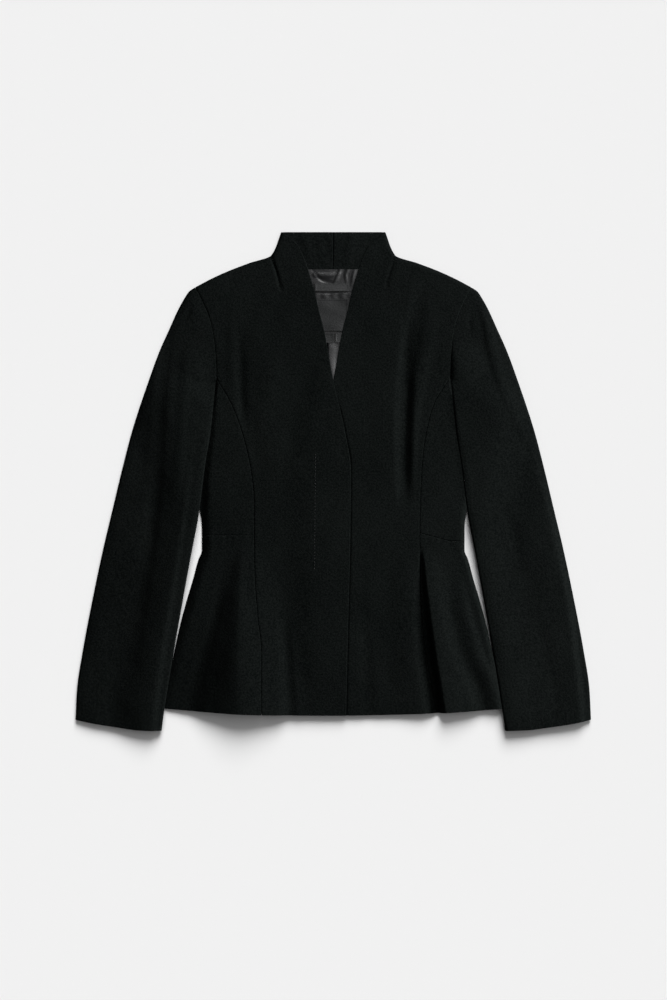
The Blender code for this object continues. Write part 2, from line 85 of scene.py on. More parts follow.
SLEEVE_RAMP = 25.0      # run over which a sleeve climbs from the surface onto the body
SLEEVE_SHELF = 10.0     # how far past the body's edge it keeps that height
SLEEVE_SPRING = {-1: 42.0, 1: 11.0}    # run over which a sleeve rises at the underarm
SHOULDER_SPRING = 20.0  # the same at the shoulder
UNDERLAP = 3.0          # how far the side front runs on under the sleeve at the underarm
UNDERLAP_DROP = 1.4     # how far that end is pressed down
UNDERLAP_RUN = 2.0      # and over which run
COLLAR_TOP = 337.0
NECK_SEAM = 290.6       # back neck seam at the centre back
NECK_POINT = (84.1, 304.8)
SHOULDER_POINT = (186.3, 262.2)
UNDERARM_FRONT = (157.5, 139.0)
SIDE_PANEL_TOP = 134.0
SIDE_FRONT_TOP = 138.2  # the tip of the side front, at the underarm
SIDE_TOP = 95.0         # top of the side seam, hidden by the sleeve
HEM_CENTRE = -316.5
HEM_RISE = 9.0          # how much higher the hem is at the side than at the centre
HEM_HALF = 226.0        # half width at which it is that much higher
HEM_SIDE = HEM_CENTRE + HEM_RISE
HEM_BLEND = 66.0        # the rows bend to the hem's curve over this height
WAIST = -73.0
ARMPIT_PRESS = {-1: 0.4, 1: 0.5}    # how far the sleeve presses the body down at the underarm
ARMPIT_REACH = 30.0     # and how far round it

# Front edge: y, distance of the edge from the centre line on its own side
FRONT_EDGE_ROWS = (
    (336.5, 69.4), (328, 57.4), (320, 48.8), (310, 43.2), (301, 39.1), (290, 35.2), (277, 31.2),
    (259, 25.8), (228, 18.6), (204, 12.4), (170, 6), (134, -0.5), (66, -15.9), (15, -23.6),
    (-86, -22.6), (-212, -19.4), (-316.5, -17.2),
)
# Collar and shoulder line: y, half width
SHOULDER_ROWS = (
    (336.5, 70.3), (304.8, 84.1), (294.6, 114.1), (283.8, 142.4), (273, 166), (262.2, 186.3),
)
# Back neck seam, in straight runs: y, half width
NECK_ROWS = (
    (290.6, 0), (292, 26), (294.6, 44.5), (299.5, 66.5), (303.6, 80.5), (304.8, 84.1),
)
# Armhole seam: y, half width
ARMHOLE_ROWS = (
    (262.2, 186.3), (258.6, 183.9), (243.3, 176.1), (221.7, 167.1), (200, 161.9), (180, 159.4),
    (159.6, 158), (139, 157.5),
)
# Princess seam on the wearer's right: y, distance from the centre line
PRINCESS_RIGHT_ROWS = (
    (139, 157.5), (104, 137.4), (78.6, 127.1), (53, 119.3), (15, 111), (-25, 107), (-73, 106.7),
    (-124, 105.8), (-182, 101.6), (-232, 96.5), (-316.5, 96.5),
)
# Princess seam on the wearer's left: y, distance from the centre line
PRINCESS_LEFT_ROWS = (
    (139, 157.5), (104, 136), (79, 128.7), (53, 123.6), (15, 119.7), (-25, 118), (-73, 117),
    (-160, 118.5), (-214, 122.5), (-263, 130.6), (-316.5, 140.5),
)
# Outer edge of the side panel, from under the sleeve down the side seam: y, half width
SIDE_ROWS = (
    (134, 157.6), (122, 159), (114, 164), (106, 178), (99, 195), (95, 206), (80, 202.5), (40, 193),
    (0, 185.5), (-30, 181.6), (-62, 177.6), (-93, 177.5), (-106, 182.3), (-133, 189.7),
    (-160, 197.8), (-194, 206.9), (-240, 217), (-280, 226), (-316.5, 233),
)
# Outer edge of a sleeve: half width, y
SLEEVE_OUTER = (
    (186.3, 262.2), (190.6, 259.5), (194.4, 256.8), (201.8, 246), (209.9, 231.2), (222.1, 204.2),
    (234.2, 177.2), (249.1, 136.7), (271.4, 69.2), (285.5, 15.2), (298.4, -38.8), (311.2, -92.8),
    (325.4, -160.3), (338.2, -227.8), (346.3, -281.8), (348.3, -322.3),
)
# Inner edge of a sleeve: half width, y
SLEEVE_INNER = (
    (157.5, 139), (158.5, 134), (161.7, 102.9), (165.5, 66.5), (172.4, 24.6), (181.2, -44.2),
    (190.4, -92.8), (205.2, -173.8), (227.1, -303.4), (231.9, -337),
)
# Cuff edge of a sleeve: half width, y
CUFF = ((231.9, -337), (262, -336), (290.6, -332.4), (320, -328), (348.3, -322.3))

# Folds of the wearer's right side: y, crest from the centre line, height, reach towards the
# centre, reach towards the side
RIGHT_FOLDS = {
    "flute": (
        (-85, 123, 0, 30, 18), (-150, 126, 5.5, 60, 38), (-212, 127.5, 10.5, 80, 66),
        (-316.5, 127, 15.5, 100, 104),
    ),
    "side_fall": (
        (-130, 205, 0, 40, 40), (-230, 222, -1.6, 54, 60), (-316.5, 234, -2.2, 62, 60),
    ),
    "front_dip": (
        (-180, 66, 0, 12, 12), (-240, 64, -1.6, 13, 13), (-316.5, 60, -1.8, 15, 15),
    ),
    "chest_dip": (
        (190, 127, 0, 14, 14), (120, 127, -0.9, 14, 14), (50, 100, 0, 14, 14),
    ),
}
# Folds of the wearer's left side, with the same columns
LEFT_FOLDS = {
    "front_roll": (
        (-95, 104, 0, 30, 11), (-160, 104, 1.6, 34, 14), (-240, 109, 2.4, 40, 16),
        (-316.5, 121, 3, 44, 19),
    ),
    "flute": (
        (-90, 121.5, 0, 4, 24), (-141, 127, 5, 6.5, 44), (-212, 136, 8.5, 8.5, 62),
        (-274, 146, 9.5, 10, 72), (-316.5, 153, 10, 11.5, 78),
    ),
    "chest_dip": (
        (258, 97, 0, 10, 10), (200, 98, -0.8, 11, 11), (80, 100, -1.6, 12, 12),
        (0, 100, -1.4, 11, 11), (-40, 99, 0, 10, 10),
    ),
}
FOLDS = {-1: RIGHT_FOLDS, 1: LEFT_FOLDS}

# Creases of the front, finer than the folds. Each row: x (wearer's left positive), y, height,
# reach on the wearer's right, reach on the wearer's left
FRONT_CREASES = {
    "chest_valley": (
        (117, 262, -0.3, 10, 18), (108, 225, -1.7, 10, 20), (98.5, 180, -1.9, 10.5, 20),
        (92.5, 120, -2.2, 10, 20), (91, 70, -2.8, 10, 20), (91.5, 20, -3, 9.5, 18),
        (91.5, -12, -2, 8, 14), (91.5, -34, 0, 6, 8),
    ),
    "chest_left": (
        (70, 205, 0, 30, 26), (72, 140, 0.7, 34, 26), (76, 80, 0.7, 34, 22), (76, 10, 0.4, 30, 22),
        (74, -40, 0, 26, 20),
    ),
    "chest_right": (
        (-96, 210, 0, 28, 34), (-92, 130, 1.2, 30, 38), (-84, 50, 1, 26, 34), (-80, -30, 0, 24, 30),
    ),
    "chest_ridge": (
        (136, 225, 0, 14, 12), (121, 160, 1.5, 15, 15), (110, 100, 1.8, 13, 12),
        (105.5, 40, 1.8, 12, 10), (104.5, -18, 0, 9, 8),
    ),
    "underarm_valley": (
        (-127, 205, 0, 8, 9), (-125, 150, -1, 8, 10), (-124, 100, -1.2, 7, 9), (-118, 62, 0, 6, 7),
    ),
    "underarm_ridge": (
        (-138, 238, 0, 10, 10), (-137, 190, 0.7, 10, 9), (-137, 130, 0.4, 9, 8),
        (-134, 100, 0, 8, 8),
    ),
    "right_front_valley": (
        (-70, -165, 0, 9, 10), (-66, -225, -0.6, 10, 11), (-61, -318, -0.9, 11, 13),
    ),
    "left_front_valley": (
        (40, -150, 0, 10, 10), (44, -220, -0.7, 12, 12), (48, -318, -0.8, 13, 13),
    ),
    "peplum_valley": (
        (118, -84, 0, 3, 3), (119.5, -120, -1.8, 5, 4), (124.5, -180, -2.9, 8, 5.5),
        (131.5, -235, -3, 9, 6.5), (143, -318, -3, 9, 7),
    ),
    "left_side_valley": (
        (150, -125, 0, 12, 14), (157, -174, -1.2, 14, 20), (172, -232, -1.7, 16, 22),
        (191, -276, -1.7, 16, 22), (204, -318, -1.5, 16, 20),
    ),
    "left_side_ridge": (
        (168, -125, 0, 14, 8), (178, -174, 2.4, 20, 10), (194, -232, 3.4, 22, 12),
        (214, -276, 3.6, 22, 12), (224, -318, 3.2, 20, 12),
    ),
    "right_flute_edge": (
        (-122, -88, 0, 8, 10), (-127, -130, 1.2, 14, 14), (-131, -200, 3, 34, 30),
        (-132, -260, 4, 56, 44), (-133, -318, 4.5, 78, 50),
    ),
    "right_flute_foot": (
        (-146, -115, 0, 7, 7), (-160, -180, -0.9, 10, 12), (-178, -245, -1, 12, 18),
        (-192, -318, -1, 14, 22),
    ),
}


def smooth_curve(rows, column=1):
    """A function of the rows' first column that runs smoothly through another column."""
    at, value = np.array(sorted((row[0], row[column]) for row in rows), float).T
    step = np.diff(at)
    rise = np.diff(value) / step
    before, after = rise[:-1], rise[1:]
    steady = before * after > 0
    middle = np.where(steady, 2 * before * after / np.where(steady, before + after, 1.0), 0.0)
    slope = np.concatenate([rise[:1], middle, rise[-1:]])

    def read(position):
        position = np.clip(position, at[0], at[-1])
        i = np.clip(np.searchsorted(at, position, side="right") - 1, 0, len(step) - 1)
        t = (position - at[i]) / step[i]
        start = value[i] * (1 + 2 * t) * (1 - t) ** 2 + value[i + 1] * t * t * (3 - 2 * t)
        turn = slope[i] * t * (1 - t) ** 2 - slope[i + 1] * t * t * (1 - t)
        return start + turn * step[i]

    return read


def length_shares(points):
    """Share of a chain's length at each of its points."""
    lengths = np.hypot(*np.diff(points, axis=0).T)
    return np.concatenate([[0.0], np.cumsum(lengths)]) / lengths.sum()


def smooth_path(points):
    """A function of 0 to 1 that runs smoothly through points in plan, at an even speed."""
    points = np.array(points, float)
    share = length_shares(points)
    x_at = smooth_curve(list(zip(share, points[:, 0])))
    y_at = smooth_curve(list(zip(share, points[:, 1])))
    return lambda s: (x_at(s), y_at(s))


def smooth_step(value):
    """0 below 0, 1 above 1, and an S between."""
    value = np.clip(value, 0.0, 1.0)
    return value * value * (3 - 2 * value)


def mix(low, high, share):
    return low + (high - low) * share


def bell(off, height, reach):
    """A height that falls away smoothly on both sides of a line."""
    return height * np.exp(-(off / reach) ** 2)


def path_nearest(path, x, y):
    """Distance in plan to a chain of straight runs, the way off it, the share along it, and
    the side of it: positive to the right of a walker on it.

    The chains here run down the wearer's left side, so the way off is to their right, inward.
    """
    path = np.array(path, float)
    runs = np.diff(path, axis=0)
    lengths = np.hypot(*runs.T)
    starts = np.concatenate([[0.0], np.cumsum(lengths)])
    nearest = np.full(np.shape(x), np.inf)
    way_x, way_y = np.zeros(np.shape(x)), np.zeros(np.shape(x))
    along, across = np.zeros(np.shape(x)), np.zeros(np.shape(x))
    for (x0, y0), (run_x, run_y), length, start in zip(path, runs, lengths, starts):
        share = np.clip(((x - x0) * run_x + (y - y0) * run_y) / length ** 2, 0.0, 1.0)
        off_x, off_y = x - x0 - share * run_x, y - y0 - share * run_y
        distance = np.hypot(off_x, off_y)
        closer = distance < nearest
        nearest = np.where(closer, distance, nearest)
        way_x = np.where(closer, run_y / length, way_x)
        way_y = np.where(closer, -run_x / length, way_y)
        along = np.where(closer, start + share * length, along)
        across = np.where(closer, off_x * run_y - off_y * run_x, across)
    return nearest, (way_x, way_y), along / starts[-1], across


front_edge = smooth_curve(FRONT_EDGE_ROWS)
shoulder_line = smooth_curve(SHOULDER_ROWS)
armhole_line = smooth_curve(ARMHOLE_ROWS)
side_line = smooth_curve(SIDE_ROWS)
princess = {-1: smooth_curve(PRINCESS_RIGHT_ROWS), 1: smooth_curve(PRINCESS_LEFT_ROWS)}
sleeve_outer = smooth_path(SLEEVE_OUTER)
sleeve_inner = smooth_path(SLEEVE_INNER)
sleeve_cuff = smooth_path(CUFF)
sleeve_top = smooth_path([(x, y) for y, x in reversed(ARMHOLE_ROWS)])
sleeve_inner_line = smooth_curve([(row_y, row_x) for row_x, row_y in SLEEVE_INNER])


def traced(line, top, bottom, step=4.0):
    """Points along a line that is a function of y."""
    heights = np.linspace(top, bottom, math.ceil((top - bottom) / step) + 1)
    return list(zip(line(heights), heights))


ARMHOLE_POINTS = 31
CREASE_POINTS = 25
WAIST_POINTS = 12
REGION_EDGE = 150.0     # half width that is inside the body wherever a sleeve lies on it

OUTLINE = traced(shoulder_line, COLLAR_TOP, SHOULDER_POINT[1]) + list(SLEEVE_OUTER[1:8])
SIDE_SEAM = traced(side_line, SIDE_TOP, HEM_CENTRE)
SIDE_REGION = traced(side_line, SIDE_PANEL_TOP, HEM_SIDE) + [(REGION_EDGE, HEM_SIDE)]
ARMHOLE_PATH = list(zip(*sleeve_top(np.linspace(0.0, 1.0, ARMHOLE_POINTS))))

# Seams that show on the front: how deep the groove is and how far it reaches to each side
SEAM_DEPTH = {-1: 0.4, 1: 0.2}
ARMHOLE_DEPTH = {-1: 0.4, 1: 0.0}
SEAM_REACH = 0.8
SEAM_LAP = 1.0          # how far the lower face runs on under the next piece at an armhole
SEAM_LAP_REACH = 4.0    # and how far from the seam it starts
CENTRE_LAP = 0.9        # the same at the collar's centre back
PUCKER_HEIGHT = 0.2     # of the puckers beside a seam, and how far from it they reach
PUCKER_REACH = 9.0
PUCKER_LENGTH = 11.0    # from one pucker to the next
PUCKER_SWAY = 1.7       # how unevenly they follow each other, and over how many of them
PUCKER_DRIFT = 3.4
NECK_DART = ((84.1, 304.8), (79.5, 291), (76.7, 283), (73, 269), (70.5, 257))
DART_DEPTH = {-1: 2.0, 1: 1.2}
DART_REACH = 1.5
DART_FADE = 20.0        # length over which its lower end fades


# The waist seam on the wearer's left: how much higher it starts at the princess seam, how far it
# drops from there and over which run, and how far above and below it the rows follow
WAIST_LIFT = 3.0
WAIST_DROP = 11.0
WAIST_RUN = 42.0
WAIST_REACH = 40.0


def waist_shift(side, x, y):
    """Slope of the waist seam, which drops towards the side on the wearer's left."""
    if side < 0:
        return np.zeros(np.shape(x))
    start = princess[side](WAIST)
    slope = WAIST_LIFT - WAIST_DROP * np.clip((x - start) / WAIST_RUN, 0.0, 1.0)
    return slope * (1 - smooth_step(abs(y - WAIST) / WAIST_REACH))


def waist_path(side):
    """The waist seam of a side, from the side seam to the princess seam."""
    x = np.linspace(side_line(WAIST), princess[side](WAIST), WAIST_POINTS)
    return list(zip(x, WAIST + waist_shift(side, x, WAIST)))


SEAMS = {side: {
    "armhole": ARMHOLE_PATH,
    "princess": traced(princess[side], UNDERARM_FRONT[1], HEM_CENTRE),
    "waist": waist_path(side),
} for side in (-1, 1)}


# Powers that make a fold fall away sooner on its outer side, and later on its inner side
CREST_SHARP = {-1: 0.65, 1: 0.95}
CREST_FLAT = {-1: 1.3, 1: 1.0}


def underarm_distance(x, y):
    """Distance in plan from the underarm."""
    return np.hypot(x - UNDERARM_FRONT[0], y - UNDERARM_FRONT[1])


def fold_height(side, rows, x, y):
    """Height that one fold adds at a place on its own side."""
    crest, height, inner, outer = (smooth_curve(rows, column)(y) for column in (1, 2, 3, 4))
    reach = np.where(x < crest, inner, outer)
    power = np.where(x < crest, CREST_FLAT[side], CREST_SHARP[side])
    off = np.minimum(abs(x - crest) / reach, 1.0) ** power
    bump = 0.5 + 0.5 * np.cos(np.pi * off)
    return np.where(y > rows[0][0], 0.0, height * bump)


def front_height(side, x, y):
    """Outer face of the front layer, before its folded edges turn down."""
    raised = sum(fold_height(side, rows, x, y) for rows in FOLDS[side].values())
    press = ARMPIT_PRESS[side] * (1 - smooth_step(underarm_distance(x, y) / ARMPIT_REACH))
    return BODY_DEPTH + raised - press


def crease_height(rows, x, y):
    """Height that one crease adds at a place in plan, along a smooth path through its rows."""
    rows = np.array(rows, float)
    reach = rows[:, 3:].max()
    low, high = rows[:, :2].min(axis=0) - reach, rows[:, :2].max(axis=0) + reach
    near = (x > low[0]) & (x < high[0]) & (y > low[1]) & (y < high[1])
    added = np.zeros(np.shape(x))
    if not near.any():
        return added
    path = smooth_path(rows[:, :2])
    chain = list(zip(*path(np.linspace(0.0, 1.0, CREASE_POINTS))))
    distance, _, along, across = path_nearest(chain, x[near], y[near])
    share = length_shares(rows[:, :2])
    height, right, left = (smooth_curve(list(zip(share, rows[:, i])))(along) for i in (2, 3, 4))
    off = np.clip(distance / np.where(across > 0, right, left), 0.0, 1.0)
    added[near] = height * (1 - off ** 2) ** 2
    return added


def seam_height(side, x, y):
    """Groove and puckers along the seams of a side, at a place on that side."""
    added = np.zeros(np.shape(x))
    for name, path in SEAMS[side].items():
        depth = ARMHOLE_DEPTH[side] if name == "armhole" else SEAM_DEPTH[side]
        distance, _, along, _ = path_nearest(path, x, y)
        length = np.hypot(*np.diff(np.array(path), axis=0).T).sum()
        added -= bell(distance, depth, SEAM_REACH)
        turn = 2 * np.pi * along * length / PUCKER_LENGTH
        wave = np.sin(turn + PUCKER_SWAY * np.sin(turn / PUCKER_DRIFT))
        added += bell(distance, PUCKER_HEIGHT * wave, PUCKER_REACH) * (distance > 0)
    distance = path_nearest(NECK_DART, x, y)[0]
    end = smooth_step((y - NECK_DART[-1][1] + DART_FADE / 2) / DART_FADE)
    return added - bell(distance, DART_DEPTH[side] * end, DART_REACH)


# Waves of pressed cloth that lies free: height, length across, length up, start
WAVES = (
    (0.1, 61, 97, 0.3), (0.09, -83, 71, 1.9), (0.07, 39, -118, 4.1), (0.05, 29, 43, 2.6),
    (0.05, -33, 151, 5.2),
)
FREE_END = 3.0          # how far short of a sleeve's edge the body stops lying free
FREE_FADE = 5.0


def unevenness(x, y):
    """The slight waviness of pressed cloth that lies free."""
    return sum(height * np.sin(2 * np.pi * (x / across + y / up) + start)
               for height, across, up, start in WAVES)


def lies_free(x, y):
    """1 where the body lies free, and 0 under a sleeve."""
    past = smooth_step((x - sleeve_inner_line(y) + FREE_END) / FREE_FADE)
    return np.where(y > UNDERARM_FRONT[1], 1.0, 1 - past)


# Where the right front's edge presses the left front, and the right sleeve the side front
LAP_GROOVE = 0.8
LAP_GROOVE_REACH = 1.6
LAP_GROOVE_TOP = 125.0  # height at which the groove starts
LAP_GROOVE_FADE = 40.0
SLEEVE_PRESS = (        # y, depth, reach from the sleeve's edge
    (139, 0, 3.5), (125, 1.9, 3.5), (60, 2.5, 4.8), (10, 3.5, 8), (-30, 3.8, 12), (-70, 2.8, 13),
    (-100, 0, 10),
)


def front_detail(side, x, y):
    """Creases, seams and waviness of the front layer, at a place on one side."""
    added = unevenness(side * x, y)
    for rows in FRONT_CREASES.values():
        added = added + crease_height(rows, side * x, y)
    added = added * lies_free(x, y) + seam_height(side, x, y)
    if side > 0:
        off = np.maximum(x + front_edge(y), 0.0)
        fade = smooth_step((LAP_GROOVE_TOP - y) / LAP_GROOVE_FADE)
        return added - bell(off, LAP_GROOVE * fade, LAP_GROOVE_REACH)
    reach = smooth_curve(SLEEVE_PRESS, 2)(y)
    beside = (x - sleeve_inner_line(y) + reach) / reach
    depth = smooth_curve(SLEEVE_PRESS)(y) * (y < UNDERARM_FRONT[1])
    return added - depth * smooth_step(beside)


def body_edge(side, x, y):
    """How near the body's folded edge is, in rolls, the way inward, and if it is the side seam."""
    top, top_way, _, _ = path_nearest(OUTLINE, x, y)
    seam, seam_way, _, _ = path_nearest(SIDE_SEAM, x, y)
    seam_roll = mix(EDGE_ROLL, SIDE_ROLL[side], smooth_step((SIDE_TOP - y) / SIDE_ROLL_RUN))
    top, seam = top / EDGE_ROLL, seam / seam_roll
    soft = seam < top
    way = [np.where(soft, b, a) for a, b in zip(top_way, seam_way)]
    return np.where(soft, seam, top), way, soft


def wall(x, y, middle, face, edge, thickness=WALL):
    """Outer and inner points of a wall, turned down to the seam's height at a folded edge.

    The edge gives the distance in rolls, the way inward and if the roll is soft. A firm roll is a
    quarter of an ellipse, and a soft one slopes more evenly.
    """
    distance, inward, soft = edge
    turn = np.clip(1.0 - distance, 0.0, 1.0)
    rise = np.where(soft, 1.0 - turn ** SOFT_TURN, np.sqrt(1.0 - turn ** 2))
    outer = np.stack([x, y, mix(middle, face, rise)], axis=-1)
    shift = WALL * turn
    drop = np.copysign(thickness, face - middle) * rise
    inner = np.stack([x + inward[0] * shift, y + inward[1] * shift, outer[..., 2] - drop], axis=-1)
    return outer, inner


def fold_middle(edge, layer):
    """Height of a folded edge: on top of it for the front (1), and below it for the back (-1)."""
    return np.where(edge[2], SIDE_HEIGHT, BODY_DEPTH / 2) + layer * SEAM_GAP / 2


def front_wall(side, x, y, lift=0.0, thickness=WALL):
    """The front layer's wall at a place."""
    edge = body_edge(side, x, y)
    face = front_height(side, x, y) + lift + front_detail(side, x, y)
    return wall(x, y, fold_middle(edge, 1), face, edge, thickness)


def lap_lift(across, y):
    """How far the right front is raised over the left one, at a signed place across."""
    return (WALL + LAYER_GAP) * smooth_step((across - front_edge(y) + LAP_CLEAR) / LAP_RAMP + 1.0)


def hem_shift(x, y):
    """How far a row near the hem is moved up to follow the hem's curve."""
    rise = HEM_RISE * (x / HEM_HALF) ** 2
    return rise * smooth_step((HEM_CENTRE + HEM_BLEND - y) / HEM_BLEND)


def hem_distance(x, y):
    """Height of a place above the hem's curve."""
    return y - HEM_CENTRE - hem_shift(x, HEM_CENTRE)


# Turned-up hem and cuff, a second layer inside
HEM_TURN = 38.0
CUFF_TURN = 36.0
TURN_WALL = 1.1
TURN_STEP = 3.0         # run over which that layer ends
FREE_ROUND = 0.3        # how far from a free edge its two faces come together
ROUND_END = 0.995       # and the share of the way at which they stop

# Grids: spacing of the rows, counts of columns, and how far from a piece's ends its rows and
# columns are crowded
SPACING = 2.6
COLLAR_SPACING = SPACING / 2
CLOSEST_ROWS = 0.05
FRONT_COLUMNS = 58
GROOVE_COLUMNS = 9
SIDE_COLUMNS = 18
PEPLUM_COLUMNS = 40
BACK_COLUMNS = 54
COLLAR_COLUMNS = 32
COLLAR_ROWS = 17
SLEEVE_COLUMNS = 46
SLEEVE_ROWS = 190
SLEEVE_CROWDING = 1.25
END_REACH = 6.0
ROLL_REACH = 9.0        # at a folded edge
CENTRE_REACH = 4.0      # at the centre back
COLLAR_REACH = 0.1      # share of the collar's height, at its top
CUFF_REACH = 0.012      # share of the sleeve's length, at the cuff
CROWDED_SHARE = 0.4     # most of a row that crowded columns take up
COLLAR_START = 335.6    # top of the fronts, where they have almost narrowed to a point


def turned_up(distance, height):
    """Thickness of a wall whose free edge is turned up inside, at a distance from that edge."""
    return WALL + TURN_WALL * (1 - smooth_step((distance - height) / TURN_STEP))


def rounded(outer, inner, distance):
    """Brings the two faces of a wall together along a free edge, as cloth folded over."""
    turn = np.clip(1.0 - distance / FREE_ROUND, 0.0, ROUND_END)
    rise = np.sqrt(1.0 - turn ** 2)[..., None]
    middle = (outer + inner) / 2
    return mix(middle, outer, rise), mix(middle, inner, rise)


def edge_steps(reach, count=7):
    """Distances from an edge, closer and closer to it."""
    return reach * (1 - np.sin(np.linspace(0.0, np.pi / 2, count)))[::-1]


def stations(top, bottom, spacing, through=()):
    """Places along a piece, close together at both ends."""
    steps = edge_steps(END_REACH)
    count = math.ceil((top - bottom - 2 * END_REACH) / spacing) + 1
    even = np.linspace(top - END_REACH, bottom + END_REACH, count)
    places = np.concatenate([top - steps, even, bottom + steps, through])
    places = np.sort(places[(places <= top) & (places >= bottom)])[::-1]
    keep = np.concatenate([[True], -np.diff(places) > CLOSEST_ROWS])
    return places[keep]


def columns(start, end, count, start_reach=END_REACH, end_reach=END_REACH):
    """Places across each row, close together at both ends. Start and end are columns."""
    width = end - start
    fit = np.minimum(1.0, CROWDED_SHARE * width / max(start_reach, end_reach))
    low = start + edge_steps(start_reach) * fit
    high = end - edge_steps(end_reach)[::-1] * fit
    share = np.linspace(0.0, 1.0, count + 1)[1:-1]
    even = mix(low[:, -1:], high[:, :1], share)
    return np.hstack([low, even, high])


def lapped(inner, x, y):
    """Runs the lower face of a wall on under its neighbour at the armhole, to close the seam."""
    distance, way, _, _ = path_nearest(ARMHOLE_PATH, x, y)
    shift = SEAM_LAP * np.clip(1 - distance / SEAM_LAP_REACH, 0.0, 1.0)
    return inner + np.stack([way[0] * shift, way[1] * shift, 0.0 * shift], -1)


def in_scene(name, data):
    """A new object, linked to the scene."""
    obj = bpy.data.objects.new(name, data)
    bpy.context.scene.collection.objects.link(obj)
    return obj


def cloth_mesh(name, outer, inner, side=1):
    """A closed mesh of a cloth wall: two grids of points in millimetres, and the rim between."""
    count_rows, count_columns = outer.shape[:2]
    points = np.concatenate([outer.reshape(-1, 3), inner.reshape(-1, 3)])
    points = points * (side * MM, MM, MM)
    index = np.arange(count_rows * count_columns).reshape(count_rows, count_columns)
    other = index + index.size

    def quads(grid):
        return np.stack([grid[:-1, :-1], grid[1:, :-1], grid[1:, 1:], grid[:-1, 1:]], -1)

    def strip(one, two):
        return np.stack([one[:-1], two[:-1], two[1:], one[1:]], -1)

    faces = np.concatenate([
        quads(index).reshape(-1, 4),
        quads(other).reshape(-1, 4)[:, ::-1],
        strip(other[0], index[0]), strip(index[-1], other[-1]),
        strip(index[:, 0], other[:, 0]), strip(other[:, -1], index[:, -1]),
    ])
    if side < 0:
        faces = faces[:, ::-1]
    mesh = bpy.data.meshes.new(name + "_cloth")
    mesh.from_pydata(points.tolist(), [], faces.tolist())
    mesh.update()

    flat = cut_map(mesh, outer)
    mesh.shade_smooth()
    crisp_borders(mesh, index.shape)
    obj = in_scene(mesh.name, mesh)
    if shape_volume(mesh) < 0:
        mesh.flip_normals()
    obj["cut_mm"] = flat
    return obj


def cut_map(mesh, outer):
    """Lays a piece out on its UV map as it is cut, and gives the cut's width and length."""
    count_rows, count_columns = outer.shape[:2]
    across = np.hypot(np.diff(outer[..., 0]), np.diff(outer[..., 2]))
    down = np.linalg.norm(np.diff(outer, axis=0), axis=2)
    u = np.hstack([np.zeros((count_rows, 1)), np.cumsum(across, axis=1)])
    v = np.vstack([np.zeros((1, count_columns)), np.cumsum(down, axis=0)])
    cut = np.stack([u, v], -1).reshape(-1, 2) * MM
    corner = np.zeros(len(mesh.loops), int)
    mesh.loops.foreach_get("vertex_index", corner)
    mesh.uv_layers.new(name="cut").data.foreach_set("uv", cut[corner % len(cut)].ravel())
    return [float(u[:, -1].max()), float(v[-1].max())]


def crisp_borders(mesh, shape):
    """Keeps the rim of each face sharp, so that the cloth shades evenly up to its edges."""
    border = np.ones(shape, bool)
    border[1:-1, 1:-1] = False
    ends = np.zeros(len(mesh.edges) * 2, int)
    mesh.edges.foreach_get("vertices", ends)
    ends = ends.reshape(-1, 2)
    one_face = (ends < border.size).all(axis=1) | (ends >= border.size).all(axis=1)
    crisp = np.tile(border.ravel(), 2)[ends].all(axis=1) & one_face
    mesh.attributes.new("sharp_edge", "BOOLEAN", "EDGE").data.foreach_set("value", crisp)


def shape_volume(mesh):
    """Volume inside a mesh, negative where its faces point inwards."""
    shape = bmesh.new()
    shape.from_mesh(mesh)
    volume = shape.calc_volume(signed=True)
    shape.free()
    return volume


GROOVE_CLEAR = 8.0      # least distance from the left front's own edge to the right one's groove


def groove_columns(inner, outer):
    """Columns close to the right front's edge, where it presses a groove into the left front."""
    room = CROWDED_SHARE * (outer - inner)
    start = np.maximum(-inner, inner + np.minimum(GROOVE_CLEAR, room))[:, None]
    span = np.minimum(4 * LAP_GROOVE_REACH, room)[:, None]
    return start + span * np.linspace(-0.25, 0.75, GROOVE_COLUMNS)


def front_piece(word):
    """A front with its grown-on collar, from the collar's top to the hem."""
    side = SIDES[word]
    y = stations(COLLAR_START, HEM_CENTRE, SPACING, (
        *np.arange(COLLAR_START, SHOULDER_POINT[1], -COLLAR_SPACING), NECK_POINT[1],
        SHOULDER_POINT[1], UNDERARM_FRONT[1]))
    inner = front_edge(y)
    low = princess[side](y + hem_shift(princess[side](y), y)) - SEAM_GAP / 2
    outer = np.where(y >= SHOULDER_POINT[1], shoulder_line(y),
                     np.where(y >= UNDERARM_FRONT[1], armhole_line(y) - ARMHOLE_GAP / 2, low))
    x = columns(inner[:, None], outer[:, None], FRONT_COLUMNS, END_REACH, ROLL_REACH)
    if side > 0:
        x = np.sort(np.hstack([x, groove_columns(inner, outer)]), axis=1)
    rows = np.repeat(y[:, None], x.shape[1], axis=1)
    place = rows + hem_shift(x, rows)
    lift = lap_lift(side * x, place) if side < 0 else 0.0
    hem = hem_distance(x, place)
    top, under = front_wall(side, x, place, lift, thickness=turned_up(hem, HEM_TURN))
    edge = (x - front_edge(rows)) / np.hypot(1.0, np.gradient(inner, y))[:, None]
    top, under = rounded(top, under, np.minimum(edge, hem))
    return cloth_mesh("front_" + word, top, lapped(under, x, place), side)


def side_shift(side, x, y):
    return waist_shift(side, x, y) + hem_shift(x, y)


